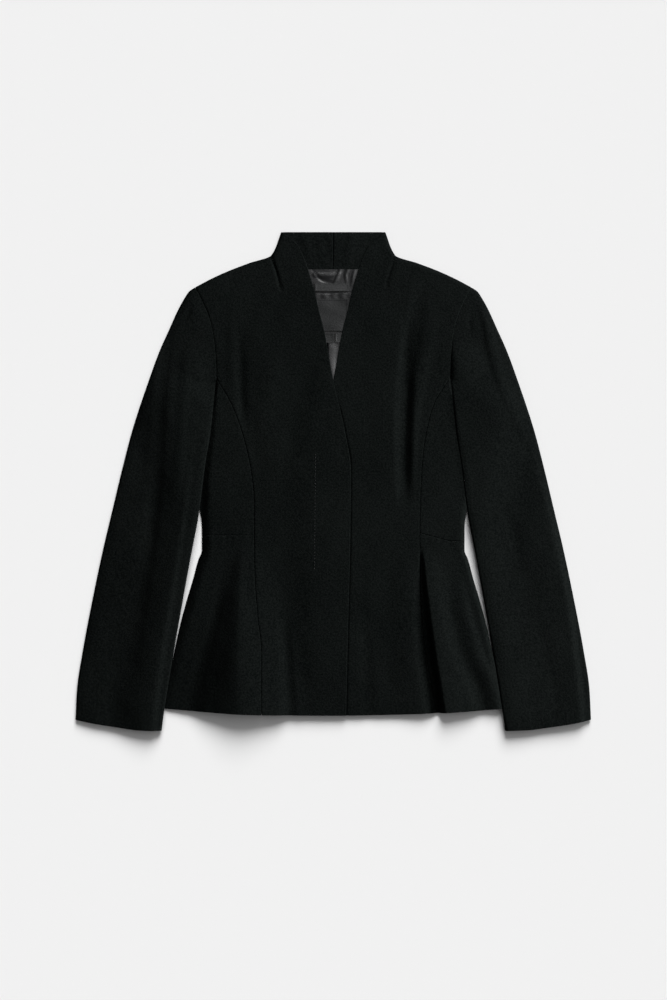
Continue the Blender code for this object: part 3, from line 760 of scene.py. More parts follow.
def side_piece(name, word, y, count, waist_gap, hemmed):
    """A side front or a peplum, from the princess seam to the side seam."""
    side = SIDES[word]
    start, end = princess[side](y), side_line(y)
    inner = princess[side](y + side_shift(side, start, y)) + SEAM_GAP / 2
    outer = side_line(y + side_shift(side, end, y)) - np.where(y > SIDE_TOP, SEAM_GAP, 0.0)
    tucked = np.where(y > SIDE_TOP, np.maximum(outer, sleeve_inner_line(y) + UNDERLAP), outer)
    x = columns(inner[:, None], tucked[:, None], count)
    rows = np.repeat(y[:, None], x.shape[1], axis=1)
    place = rows + side_shift(side, x, rows) + np.where(rows == WAIST, waist_gap, 0.0)
    past = smooth_step((x - outer[:, None] + UNDERLAP_RUN / 4) / UNDERLAP_RUN) * (rows > SIDE_TOP)
    hem = hem_distance(x, place)
    thickness = turned_up(hem, HEM_TURN) if hemmed else WALL
    top, under = front_wall(side, x, place, -UNDERLAP_DROP * past, thickness=thickness)
    if hemmed:
        top, under = rounded(top, under, hem)
    return cloth_mesh(name + word, top, under, side)


def side_front(word):
    y = stations(SIDE_FRONT_TOP, WAIST, SPACING, (SIDE_TOP, SIDE_PANEL_TOP))
    return side_piece("side_front_", word, y, SIDE_COLUMNS, SEAM_GAP / 2, False)


def peplum(word):
    y = stations(WAIST, HEM_CENTRE, SPACING)
    return side_piece("peplum_", word, y, PEPLUM_COLUMNS, -SEAM_GAP / 2, True)


# Creases of the back, which lifts off the surface along them, with the same columns
BACK_CREASES = {
    "shoulder_blade_right": (
        (-70, 230, 0, 12, 12), (-62, 170, 0.7, 14, 12), (-66, 90, 0.5, 12, 12),
        (-60, 40, 0, 10, 10),
    ),
    "waist_right": (
        (-118, 20, 0, 9, 9), (-112, -60, 0.8, 10, 8), (-120, -150, 0.6, 12, 9),
        (-128, -230, 0, 10, 10),
    ),
    "hem_right": (
        (-70, -190, 0, 9, 9), (-74, -260, 0.7, 12, 10), (-76, -320, 0.9, 13, 12),
    ),
    "shoulder_blade_left": (
        (60, 205, 0, 12, 12), (70, 140, 0.6, 12, 14), (64, 60, 0.6, 11, 12), (70, -10, 0, 10, 10),
    ),
    "waist_left": (
        (140, 60, 0, 8, 9), (132, -20, 0.6, 9, 10), (128, -90, 0.7, 9, 10), (138, -170, 0, 9, 9),
    ),
    "hem_left": (
        (92, -210, 0, 9, 9), (88, -270, 0.6, 10, 12), (86, -320, 0.8, 11, 13),
    ),
}
CENTRE_RIDGE = 0.5      # how high the centre-back seam lifts the cloth, and how far beside it
CENTRE_RIDGE_REACH = 1.6


def back_wall(side, x, y, thickness=WALL):
    """The back's wall, flat on the surface, lifted along its creases and rounded up at its edges."""
    lifted = sum(crease_height(rows, side * x, y) for rows in BACK_CREASES.values())
    lifted = lifted + bell(x, CENTRE_RIDGE, CENTRE_RIDGE_REACH)
    edge = body_edge(side, x, y)
    return wall(x, y, fold_middle(edge, -1), lifted, edge, thickness)


def straight_runs(rows, value, given, wanted):
    """Reads one column of a table at a value of another, along straight runs."""
    table = np.array(rows, float)
    return np.interp(value, table[:, given], table[:, wanted])


def back_piece(word):
    """A back, from the back neck seam and the shoulder to the hem."""
    side = SIDES[word]
    top = NECK_ROWS[-2][0]
    y = stations(top, HEM_CENTRE, SPACING, (
        *(row[0] for row in NECK_ROWS[:-1]), SHOULDER_POINT[1], SIDE_PANEL_TOP, SIDE_TOP))
    inner = np.where(y > NECK_SEAM, straight_runs(NECK_ROWS, y, 0, 1), SEAM_GAP / 2)
    low = side_line(y + hem_shift(side_line(y), y)) - np.where(y > SIDE_TOP, SEAM_GAP, 0.0)
    outer = np.where(y >= SHOULDER_POINT[1], shoulder_line(y),
                     np.where(y > SIDE_PANEL_TOP, armhole_line(y) - ARMHOLE_GAP / 2, low))
    x = columns(inner[:, None], outer[:, None], BACK_COLUMNS, CENTRE_REACH, ROLL_REACH)
    rows = np.repeat(y[:, None], x.shape[1], axis=1)
    place = rows + hem_shift(x, rows)
    hem = hem_distance(x, place)
    faces = back_wall(side, x, place, turned_up(hem, HEM_TURN))
    return cloth_mesh("back_" + word, *rounded(*faces, hem), side)


def neck_seam(x):
    """Height of the back neck seam at a place across."""
    return straight_runs(NECK_ROWS, x, 1, 0)


# Wool facing that shows below the back neck seam: how deep it is and where its faces lie
FACING = 5.6
FACING_TOP = 0.4
FACING_FACES = (2.35, 2.95)
FACING_ROWS = 6
COLLAR_LIFT = 1.6       # how much the collar's two layers swell between their edges
COLLAR_SWELL = 9.0      # run over which they swell from the top edge


def collar_piece(word):
    """The stand of the back collar, from the facing below the neck seam to the collar's top."""
    side = SIDES[word]
    share = np.linspace(0.0, 1 - COLLAR_REACH, COLLAR_ROWS)
    share = np.concatenate([share, 1 - edge_steps(COLLAR_REACH)[::-1]])[:, None]
    outer = np.full(share.shape, NECK_POINT[0])
    for _ in range(6):
        outer = shoulder_line(mix(neck_seam(outer) + SEAM_GAP, COLLAR_TOP, share))
    centre = np.full(share.shape, SEAM_GAP / 2)
    x = columns(centre, outer, COLLAR_COLUMNS, CENTRE_REACH, EDGE_ROLL * 1.1)
    seam = neck_seam(x) + SEAM_GAP
    y = mix(seam, COLLAR_TOP, share)
    edge = body_edge(side, x, y)
    outer_face, inner_face = wall(x, y, fold_middle(edge, -1), 0.0 * x, edge)
    rise = COLLAR_LIFT * smooth_step((COLLAR_TOP - y) / COLLAR_SWELL)
    inner_face[..., 2] += collar_detail(side, x, y, seam) + rise
    faces = rounded(outer_face, inner_face, COLLAR_TOP - y)
    below = np.linspace(FACING, FACING_TOP, FACING_ROWS)[:, None]
    down_x = np.repeat(x[:1], FACING_ROWS, axis=0)
    facing = [np.stack([down_x, seam[:1] - below, np.full(down_x.shape, z)], -1)
              for z in FACING_FACES]
    faces = [np.concatenate([strip, face]) for strip, face in zip(facing, faces)]
    near = np.clip(1 - faces[0][..., 0] / SEAM_LAP_REACH, 0.0, 1.0)
    faces[0][..., 0] -= CENTRE_LAP * (side > 0) * near
    return cloth_mesh("collar_back_" + word, *faces, side)


# Waves of the collar's inside: x, y, height, reach on the wearer's right, reach on the left
COLLAR_CREASES = {
    "centre_hollow": (
        (-9, 336, 0, 7, 5), (-8, 322, -0.5, 8, 5), (-7, 306, -0.3, 8, 5), (-7, 292, 0, 6, 5),
    ),
    "right_roll": (
        (-40, 336, 0.4, 8, 10), (-36, 318, 0.8, 8, 11), (-30, 300, 0.3, 8, 10),
    ),
    "left_roll": (
        (24, 337, 0.5, 10, 12), (22, 318, 0.7, 9, 12), (20, 298, 0.3, 9, 12),
    ),
}
# Grooves of the collar's centre-back seam and the neck seam: depth, reach
COLLAR_SEAM = (0.5, 0.7)
NECK_GROOVE = (0.7, 0.8)


def collar_detail(side, x, y, seam):
    """Waves, centre-back seam and neck seam on the inside of the collar."""
    added = sum(crease_height(rows, side * x, y) for rows in COLLAR_CREASES.values())
    return added - bell(x, *COLLAR_SEAM) - bell(y - seam, *NECK_GROOVE)


# Creases of the sleeves, in plan, with the columns of the front's creases
SLEEVE_CREASES = {
    "left_tilt": (
        (262, 60, 0, 60, 10), (292, -60, 3.2, 74, 10), (316, -180, 4.4, 84, 11),
        (332, -325, 4.4, 90, 11),
    ),
    "left_ridge": (
        (196, 250, 0, 6, 8), (206, 213, 1.3, 8, 12), (214, 174, 1.6, 9, 13), (223, 143, 1.5, 9, 14),
        (236, 108, 1.1, 9, 14), (254, 69, 0.5, 9, 12), (264, 40, 0, 8, 8),
    ),
    "left_head": (
        (188, 236, 0, 7, 6), (184, 214, -0.7, 6, 7), (188, 190, 0, 6, 6),
    ),
    "left_crook": (
        (222, -20, 0, 10, 10), (240, -60, -0.5, 12, 12), (252, -120, 0, 10, 10),
    ),
    "left_cuff_roll": (
        (262, -180, 0, 14, 14), (276, -240, 0.6, 18, 16), (290, -338, 0.5, 20, 18),
    ),
    "right_valley": (
        (-214, 214, 0, 10, 8), (-227, 160, -1, 13, 10), (-233, 80, -1.2, 14, 11),
        (-238, 0, -0.9, 15, 12), (-246, -80, -1.2, 16, 12), (-262, -180, -0.9, 18, 14),
        (-276, -290, 0, 16, 14),
    ),
    "right_tilt": (
        (-190, 60, 0, 30, 8), (-206, -60, 2, 50, 9), (-222, -160, 3.2, 60, 10),
        (-238, -260, 3.8, 66, 10), (-246, -338, 3.6, 66, 10),
    ),
    "right_head": (
        (-190, 238, 0, 5, 5), (-196, 227, -1, 5, 6), (-206, 214, 0, 5, 5),
    ),
    "right_ridge": (
        (-196, 190, 0, 10, 8), (-200, 120, 0.9, 12, 9), (-205, 40, 0.7, 12, 9),
        (-214, -40, 0, 10, 8),
    ),
}


def sleeve_place(a, v):
    """Place in plan on a sleeve: a runs from its inner to its outer edge, v to the cuff."""
    corners = [[float(c) for c in edge(end)]
               for edge in (sleeve_top, sleeve_cuff) for end in (0, 1)]
    top, end = sleeve_top(a), sleeve_cuff(a)
    inner, outer = sleeve_inner(v), sleeve_outer(v)
    place = []
    for i in (0, 1):
        flat = mix(mix(corners[0][i], corners[1][i], a), mix(corners[2][i], corners[3][i], a), v)
        place.append(mix(top[i], end[i], v) + mix(inner[i], outer[i], a) - flat)
    return place


SLEEVE_CROWN = {-1: 1.6, 1: 0.3}    # how much higher a sleeve is in its middle than at its edges
SLEEVE_FLAT = 0.8       # how much flatter it is pressed right at its folded edges
SLEEVE_SWELL = 12.0     # run over which it swells from there
UNDERARM_FLAT = {-1: 3.2, 1: 2.2}    # how much flatter a sleeve lies beside the underarm
UNDERARM_REACH = 80.0
SLEEVE_ROUND_TOP = 238.0    # where the left sleeve's rounder rise starts, and over which height
SLEEVE_ROUND_RUN = 60.0
SPRING_TOP = 185.0      # where the run of the rise starts to change to the shoulder's
SPRING_BLEND = 45.0
INNER_START = 40.0      # the inner edge's roll changes from here up to the underarm
INNER_RUN = 60.0
INNER_LENGTH = 480.0    # of the inner edge, from the underarm to the cuff
WAVE_SHIFT = 40.0       # of the cloth's waves on the sleeves
TOP_RAMP = 62.0         # run over which the upper layer climbs, softer than the under one


def sleeve_spring(side, y):
    """Run over which a sleeve rises out of the armhole seam."""
    return mix(SLEEVE_SPRING[side], SHOULDER_SPRING, smooth_step((y - SPRING_TOP) / SPRING_BLEND))


def sleeve_rise(side, x, y):
    """Share of its height that a sleeve has reached, rounder on the left one below the shoulder."""
    share = path_nearest(ARMHOLE_PATH, x, y)[0] / sleeve_spring(side, y)
    share = np.clip(share, 0.0, 1.0)
    below = smooth_step((SLEEVE_ROUND_TOP - y) / SLEEVE_ROUND_RUN) * (side > 0)
    return mix(smooth_step(share), np.sqrt(share * (2 - share)), below)


def sleeve_base(side, x, y, ramp=SLEEVE_RAMP):
    """Lower face of a sleeve: on the surface, and up over the body where it lies on that."""
    over = (y >= HEM_SIDE) & (y <= SIDE_PANEL_TOP) & (x <= side_line(y))
    outside = np.where(over, 0.0, path_nearest(SIDE_REGION, x, y)[0])
    body = front_height(side, x, y) + LAYER_GAP
    return body * (1 - smooth_step((outside - SLEEVE_SHELF) / ramp))


SLEEVE_START = 0.0010   # share of the sleeve's length left open for the armhole seam
START_FADE = 6          # how soon the rows run evenly after that start
UNDER_START = 0.075     # the same at the underarm, where the under sleeve passes over the body
UNDER_SHARE = 0.2       # share of its width with that start, and share over which it changes
UNDER_BLEND = 0.25


def sleeve_width(v):
    """Width of a sleeve at a share of its length, and the way across it."""
    (x0, y0), (x1, y1) = sleeve_place(0.0, v), sleeve_place(1.0, v)
    width = np.hypot(x1 - x0, y1 - y0)
    return width, ((x1 - x0) / width, (y1 - y0) / width)


def sleeve_grid(upper):
    """Shares of a sleeve's width and length at which the columns and rows of a layer lie."""
    share = np.linspace(0.0, 1.0, SLEEVE_ROWS + 1) ** SLEEVE_CROWDING
    share = np.unique(np.concatenate([share, 1 - edge_steps(CUFF_REACH)]))[:, None]
    width = sleeve_width(share)[0]
    across = columns(0.0 * width, width, SLEEVE_COLUMNS) / width
    start = SLEEVE_START
    if not upper:
        past = smooth_step((across - UNDER_SHARE) / UNDER_BLEND)
        start = mix(UNDER_START, SLEEVE_START * 2, past)
    return across, share + start * (1 - share) ** START_FADE


def sleeve_edge(side, across, v, y):
    """Distance from a sleeve's nearer folded edge, and that edge as a wall takes it."""
    width, (way_x, way_y) = sleeve_width(v)
    inward = np.where(across < 0.5, 1.0, -1.0)
    inset = np.minimum(across, 1 - across) * width
    inner_roll = mix(SLEEVE_ROLL, INNER_ROLL[side], smooth_step((y - INNER_START) / INNER_RUN))
    roll = np.where(across < 0.5, inner_roll, SLEEVE_ROLL)
    soft = (side > 0) & (across < 0.5) & (y > INNER_START)
    return inset, (inset / roll, (inward * way_x, inward * way_y), soft)


def sleeve_relief(side, x, y, across, inset):
    """Creases, waves and crown of a sleeve's upper layer, and how it flattens at its edges."""
    relief = sum(crease_height(rows, side * x, y) for rows in SLEEVE_CREASES.values())
    relief = relief + unevenness(side * x + WAVE_SHIFT, y)
    relief = relief - mix(SLEEVE_FLAT, 0.0, smooth_step(inset / SLEEVE_SWELL))
    relief = relief + SLEEVE_CROWN[side] * (1 - (2 * across - 1) ** 2)
    beside = smooth_step(underarm_distance(x, y) / UNDERARM_REACH)
    return relief - UNDERARM_FLAT[side] * (1 - beside)


def sleeve_piece(word, upper):
    """A sleeve's upper or under layer, from the armhole to the cuff."""
    side = SIDES[word]
    across, v = sleeve_grid(upper)
    x, y = sleeve_place(across, v)
    inset, edge = sleeve_edge(side, across, v, y)
    rising = sleeve_rise(side, x, y)
    base = sleeve_base(side, x, y) * (1.0 if upper else rising)
    middle = base + SLEEVE_DEPTH / 2
    cuff = (1 - v) * INNER_LENGTH
    thickness = turned_up(cuff, CUFF_TURN)
    if not upper:
        faces = wall(x, y, middle - SLEEVE_GAP / 2, base, edge, thickness)
        return cloth_mesh("sleeve_under_" + word, *rounded(*faces, cuff), side)
    relief = sleeve_relief(side, x, y, across, inset)
    face = sleeve_base(side, x, y, TOP_RAMP) + SLEEVE_DEPTH + relief
    free = wall(x, y, middle + SLEEVE_GAP / 2, face, edge, thickness)
    seam = front_wall(side, x, y)
    faces = [mix(sewn, loose, rising[..., None]) for sewn, loose in zip(seam, free)]
    top, under = rounded(*faces, cuff)
    return cloth_mesh("sleeve_top_" + word, top, lapped(under, x, y), side)


# Lining in the neck opening
LINING_TOP = 286.4
LINING_END = 122.0
LINING_TUCK = 15.0      # how far it runs on below each front
LINING_FACE = WALL + LAYER_GAP + LINING_WALL
LINING_REST = 0.3       # least gap between it and the back
LINING_GRID = (190, 81)     # rows, columns
GATHER_LINE = 250.5     # height of a gathered seam across it
GATHER_HEIGHT = 0.25
GATHER_REACH = 3.5
LINING_CREASES = {
    "top_swell": (
        (-24, 279, 1.2, 5, 5), (-8, 278, 1.5, 5, 5), (8, 281, 0.3, 4, 4),
    ),
    "top_fold": (
        (-28, 285, -0.3, 3, 3), (-14, 271, -0.9, 3, 4), (4, 268, 0, 3, 3),
    ),
    "right_pleat": (
        (10, 288, 0.9, 2.5, 4), (6, 278, 1, 2.5, 4), (1, 268, 0.4, 2, 3),
    ),
    "left_pleat": (
        (20, 287, 0.8, 3, 3), (17, 278, 0.9, 3, 3), (18, 268, 0.2, 3, 3),
    ),
    "side_pleat": (
        (30, 288, 0.4, 3, 3), (27, 278, 0.7, 3, 3), (25, 266, 0.2, 3, 3),
    ),
    "centre_pleat": (
        (0.5, 206, 0, 3, 3), (-5.5, 190, 0.5, 3, 10), (-6, 178, 2, 3, 14), (-4.5, 160, 2.2, 3, 12),
        (-3, 145, 1.8, 3, 10), (-2, 124, 0.9, 3, 8),
    ),
    "facing_edge": (
        (-30, 255, -0.4, 1.6, 1.6), (-8, 254, -0.6, 1.6, 1.6), (8, 254.6, -0.5, 1.6, 1.6),
        (28, 255.6, -0.4, 1.6, 1.6),
    ),
}


def lining_face(x, y):
    """Upper face of the lining, which is loose and wrinkled."""
    added = sum(crease_height(rows, x, y) for rows in LINING_CREASES.values())
    crinkle = bell(y - GATHER_LINE, np.sin(x / 1.9 + 1.4 * np.sin(y / 3.0)), GATHER_REACH)
    return LINING_FACE + added + GATHER_HEIGHT * crinkle + 0.15 * np.sin(x / 5.0 + y / 7.0)


def lining_piece():
    """The part of the back lining that shows between the fronts."""
    y = np.linspace(LINING_TOP, LINING_END, LINING_GRID[0])[:, None]
    half = front_edge(y) + LINING_TUCK
    x = mix(-half, half, np.linspace(0.0, 1.0, LINING_GRID[1]))
    y = np.repeat(y, x.shape[1], axis=1)
    top = np.stack([x, y, lining_face(x, y)], -1)
    under = np.stack([x, y, np.maximum(top[..., 2] - LINING_WALL, WALL + LINING_REST)], -1)
    return cloth_mesh("lining_back", top, under)


# Labels: centre x, centre y, width, height, how far above the lining
LABELS = {
    "label_banner": (-1.5, 262, 46, 10, 0.5),
    "label_main": (-1.5, 224.5, 43, 43, 0.4),
    "label_size": (-6.3, 193.5, 13, 13, 0.4),
    "label_care": (8.1, 194, 10.4, 13, 0.6),
}
LABEL_HEM = 1.6         # woven border round a label, and how much thicker it is
LABEL_HEM_RISE = 0.18
LABEL_GAP = 0.35        # between a label and the lining's waves
LABEL_GRID = 60


def label_face(x, y, above):
    """Upper face of a label, which bows a little between its stitches."""
    bow = 0.35 * np.sin(x / 7.0 + 0.6) * np.cos(y / 11.0) + 0.15 * np.sin(y / 4.0 + x / 9.0)
    return LINING_FACE + LABEL_WALL + above + LABEL_GAP + bow


def label_piece(name):
    """A flat woven label, lifted over the lining, that bows a little of its own."""
    centre_x, centre_y, width, height, above = LABELS[name]
    x = centre_x + width * np.linspace(-0.5, 0.5, LABEL_GRID)[None, :]
    y = centre_y + height * np.linspace(0.5, -0.5, LABEL_GRID)[:, None]
    x, y = np.broadcast_arrays(x, y)
    inset = np.minimum(width / 2 - abs(x - centre_x), height / 2 - abs(y - centre_y))
    face = label_face(x, y, above) + LABEL_HEM_RISE * (inset < LABEL_HEM)
    top = np.stack([x, y, face], -1)
    under = np.stack([x, y, face - LABEL_WALL], -1)
    return cloth_mesh(name, top, under)


# Colours, linear
WOOL_DARK = (0.0002, 0.0005, 0.00045)
WOOL_LIGHT = (0.0026, 0.0032, 0.0030)
SATIN_COLOUR = (0.0035, 0.0036, 0.0038)
LABEL_COLOUR = (0.0040, 0.0043, 0.0044)
TAPE_COLOUR = (0.0085, 0.0088, 0.0090)
FLOOR_COLOUR = (0.80, 0.80, 0.80)


def node(tree, kind, settings=(), **inputs):
    """Adds a node, with its settings and the values of its inputs, and links what is a socket."""
    made = tree.nodes.new(kind)
    for name, value in dict(settings).items():
        setattr(made, name, value)
    for name, value in inputs.items():
        numbered = name[1:].isdigit()
        socket = made.inputs[int(name[1:]) if numbered else name.replace("_", " ")]
        if isinstance(value, bpy.types.NodeSocket):
            tree.links.new(value, socket)
        else:
            socket.default_value = value
    return made


def math_node(tree, operation, first, second=0.0):
    return node(tree, "ShaderNodeMath", {"operation": operation}, _0=first, _1=second).outputs[0]


def shader_group(name, inputs, outputs):
    """An empty shader node group with named sockets."""
    tree = bpy.data.node_groups.new(name, "ShaderNodeTree")
    for socket_name, kind, value in inputs:
        socket = tree.interface.new_socket(socket_name, in_out="INPUT", socket_type=kind)
        if value is not None:
            socket.default_value = value
    for socket_name, kind in outputs:
        tree.interface.new_socket(socket_name, in_out="OUTPUT", socket_type=kind)
    return tree, tree.nodes.new("NodeGroupInput"), tree.nodes.new("NodeGroupOutput")


def weave_group():
    """Plain weave on the cut: threads that go over and under, some thicker than others."""
    tree, given, result = shader_group("plain weave", [
        ("Cut", "NodeSocketVector", None),
        ("Threads per metre", "NodeSocketFloat", 1500.0),
        ("Slub", "NodeSocketFloat", 0.4),
    ], [("Height", "NodeSocketFloat"), ("Thread shade", "NodeSocketFloat")])
    scaled = node(tree, "ShaderNodeVectorMath", {"operation": "SCALE"},
                  _0=given.outputs["Cut"], Scale=given.outputs["Threads per metre"])
    parts = node(tree, "ShaderNodeSeparateXYZ", _0=scaled.outputs[0])
    across = math_node(tree, "SINE", math_node(tree, "MULTIPLY", parts.outputs[0], math.pi))
    down = math_node(tree, "SINE", math_node(tree, "MULTIPLY", parts.outputs[1], math.pi))
    over = math_node(tree, "MULTIPLY", across, down)
    slub = node(tree, "ShaderNodeTexNoise", Vector=scaled.outputs[0], Scale=0.21, Detail=3.0)
    slub_height = math_node(tree, "MULTIPLY", slub.outputs[0], given.outputs["Slub"])
    total = math_node(tree, "ADD", math_node(tree, "MULTIPLY", over, 0.5), slub_height)
    tree.links.new(total, result.inputs["Height"])
    tree.links.new(slub.outputs[0], result.inputs["Thread shade"])
    return tree


def mottle_group():
    """Soft patches, at the size of a hand's press, and fine grain, in object space."""
    tree, given, result = shader_group("pressed mottle", [
        ("Patch size", "NodeSocketFloat", 9.0), ("Grain size", "NodeSocketFloat", 420.0),
    ], [("Patch", "NodeSocketFloat"), ("Grain", "NodeSocketFloat")])
    place = tree.nodes.new("ShaderNodeTexCoord").outputs["Object"]
    for name, detail in (("Patch", 4.0), ("Grain", 3.0)):
        noise = node(tree, "ShaderNodeTexNoise", Vector=place, Scale=given.outputs[name + " size"],
                     Detail=detail)
        spread = node(tree, "ShaderNodeMapRange", Value=noise.outputs[0], From_Min=0.34,
                      From_Max=0.66)
        tree.links.new(spread.outputs[0], result.inputs[name])
    return tree


WEAVE = weave_group()
MOTTLE = mottle_group()


def group_node(tree, group, **inputs):
    return node(tree, "ShaderNodeGroup", {"node_tree": group}, **inputs)


def surface(name):
    """A new material with its tree and its Principled shader."""
    material = bpy.data.materials.new(name)
    material.use_nodes = True
    return material, material.node_tree, material.node_tree.nodes["Principled BSDF"]


def colour_mix(tree, factor, dark, light):
    mixed = node(tree, "ShaderNodeMix", {"data_type": "RGBA"}, _0=factor)
    mixed.inputs[6].default_value = (*dark, 1.0)
    mixed.inputs[7].default_value = (*light, 1.0)
    return mixed.outputs[2]


ROUGHNESS_SPREAD = 0.06     # between the patches of a cloth


def woven(name, dark, light, threads, relief, roughness, specular, sheen):
    """A woven cloth with grain, patches and a weave that follows the cut."""
    material, tree, shader = surface(name)
    cut = node(tree, "ShaderNodeUVMap", {"uv_map": "cut"}).outputs[0]
    weave = group_node(tree, WEAVE, Cut=cut, Threads_per_metre=threads)
    mottle = group_node(tree, MOTTLE)
    shade = math_node(tree, "ADD", math_node(tree, "MULTIPLY", mottle.outputs["Grain"], 0.7),
                      math_node(tree, "MULTIPLY", mottle.outputs["Patch"], 0.3))
    tree.links.new(colour_mix(tree, shade, dark, light), shader.inputs["Base Color"])
    spread = node(tree, "ShaderNodeMapRange", Value=mottle.outputs["Patch"],
                  To_Min=roughness - ROUGHNESS_SPREAD, To_Max=roughness + ROUGHNESS_SPREAD)
    tree.links.new(spread.outputs[0], shader.inputs["Roughness"])
    fine = node(tree, "ShaderNodeBump", Height=weave.outputs["Height"], Distance=relief,
                Strength=0.7)
    grain = node(tree, "ShaderNodeBump", Height=mottle.outputs["Grain"], Distance=relief * 1.5,
                 Strength=0.8, Normal=fine.outputs[0])
    tree.links.new(grain.outputs[0], shader.inputs["Normal"])
    shader.inputs["Specular IOR Level"].default_value = specular
    shader.inputs["Sheen Weight"].default_value = sheen
    shader.inputs["Sheen Roughness"].default_value = 0.5
    shader.inputs["Sheen Tint"].default_value = (0.75, 0.85, 0.82, 1.0)
    return material


def toned(colour, times):
    """A colour that many times as light."""
    return tuple(times * part for part in colour)


# Finish of each material slot. After the two colours: threads per metre, depth of the weave in
# metres, roughness, specular level, sheen
FINISHES = {
    "wool": woven("wool crepe", WOOL_DARK, WOOL_LIGHT, 1500.0, 0.00012, 0.9, 0.015, 0.008),
    "satin_lining": woven("satin lining", SATIN_COLOUR, toned(SATIN_COLOUR, 1.5), 4000.0, 0.00003,
                          0.30, 0.42, 0.0),
    "label_black": woven("label black", LABEL_COLOUR, toned(LABEL_COLOUR, 1.4), 2200.0, 0.00006,
                         0.55, 0.16, 0.0),
    "label_tape": woven("label tape", TAPE_COLOUR, toned(TAPE_COLOUR, 1.3), 2200.0, 0.00006,
                        0.55, 0.16, 0.0),
}


def dressed(obj, slot):
    """Gives a piece its finish, and hides the imported solid that it stands for."""
    obj.data.materials.append(FINISHES[slot])
    del obj["cut_mm"]
    jacket.objects.link(obj)
    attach(obj, "root")
    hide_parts(obj.name.removesuffix("_cloth"))


LABEL_SLOTS = {
    "label_banner": "label_tape", "label_main": "label_black", "label_size": "label_black",
    "label_care": "label_tape",
}
jacket = bpy.data.collections.new("jacket")
for word in SIDES:
    dressed(back_piece(word), "wool")
    dressed(collar_piece(word), "wool")
    for make in (front_piece, side_front, peplum):
        dressed(make(word), "wool")
    dressed(sleeve_piece(word, False), "wool")
    dressed(sleeve_piece(word, True), "wool")
dressed(lining_piece(), "satin_lining")
for name, slot in LABEL_SLOTS.items():
    dressed(label_piece(name), slot)

# Stitches: distance from one to the next, length and thickness of one, in metres
STITCH_STEP = 0.0044
STITCH_LENGTH = 0.0024
LABEL_STITCH_STEP = 0.0024
LABEL_STITCH_LENGTH = 0.0015
THREAD = 0.0005
# Places in millimetres: the placket's row, and how far a label's rows lie inside its edge
PLACKET_STITCHES = ((-24, 36), (-24.6, -20), (-24.9, -70), (-25.4, -118))
LABEL_INSET = 0.8
PLACKET_POINTS = 60
LABEL_POINTS = 40
STITCH_RISE = 0.2       # of a label's stitches above it


def stitch_tree():
    """Geometry nodes that set one stitch after another along the edges of a mesh."""
    tree = bpy.data.node_groups.new("stitches", "GeometryNodeTree")
    tree.is_modifier = True
    tree.interface.new_socket("Path", in_out="INPUT", socket_type="NodeSocketGeometry")
    for name, value in (("Step", STITCH_STEP), ("Length", STITCH_LENGTH), ("Thickness", THREAD)):
        socket = tree.interface.new_socket(name, in_out="INPUT", socket_type="NodeSocketFloat")
        socket.default_value = value
    tree.interface.new_socket("Thread", in_out="INPUT", socket_type="NodeSocketMaterial")
    tree.interface.new_socket("Stitches", in_out="OUTPUT", socket_type="NodeSocketGeometry")
    given = tree.nodes.new("NodeGroupInput")
    result = tree.nodes.new("NodeGroupOutput")
    path = node(tree, "GeometryNodeMeshToCurve", Mesh=given.outputs["Path"])
    places = node(tree, "GeometryNodeCurveToPoints", {"mode": "LENGTH"}, Curve=path.outputs[0],
                  Length=given.outputs["Step"])
    stitch = node(tree, "GeometryNodeMeshUVSphere", Segments=6, Rings=4, Radius=0.5)
    size = node(tree, "ShaderNodeCombineXYZ", X=given.outputs["Thickness"],
                Y=given.outputs["Thickness"], Z=given.outputs["Length"])
    row = node(tree, "GeometryNodeInstanceOnPoints", Points=places.outputs["Points"],
               Instance=stitch.outputs[0], Rotation=places.outputs["Rotation"], Scale=size.outputs[0])
    real = node(tree, "GeometryNodeRealizeInstances", Geometry=row.outputs[0])
    done = node(tree, "GeometryNodeSetMaterial", Geometry=real.outputs[0],
                Material=given.outputs["Thread"])
    tree.links.new(done.outputs[0], result.inputs["Stitches"])
    return tree


def stitched(name, runs, slot, step, length):
    """Rows of stitches along runs of points in millimetres."""
    points, edges = [], []
    for run in runs:
        edges += [(len(points) + i, len(points) + i + 1) for i in range(len(run) - 1)]
        points += [(x * MM, y * MM, z * MM) for x, y, z in run]
    mesh = bpy.data.meshes.new(name + "_path")
    mesh.from_pydata(points, edges, [])
    path = in_scene(mesh.name, mesh)
    modifier = path.modifiers.new("stitches", "NODES")
    modifier.node_group = STITCHES
    values = {"Step": step, "Length": length, "Thread": FINISHES[slot]}
    for item in STITCHES.interface.items_tree:
        if item.name in values:
            modifier[item.identifier] = values[item.name]
    finished = path.evaluated_get(bpy.context.evaluated_depsgraph_get())
    sewn = bpy.data.meshes.new_from_object(finished)
    bpy.data.objects.remove(path)
    sewn.name = name
    sewn.shade_smooth()
    obj = in_scene(name, sewn)
    jacket.objects.link(obj)
    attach(obj, "root")


def placket_run():
    """The row of small stitches that holds the concealed placket, on the right front."""
    y = np.linspace(PLACKET_STITCHES[0][1], PLACKET_STITCHES[-1][1], PLACKET_POINTS)
    x = -smooth_curve([(row_y, row_x) for row_x, row_y in PLACKET_STITCHES])(y)
    face = front_wall(-1, x, y, lap_lift(-x, y))[0]
    return [(-px, py, pz + THREAD / MM / 4) for px, py, pz in face]


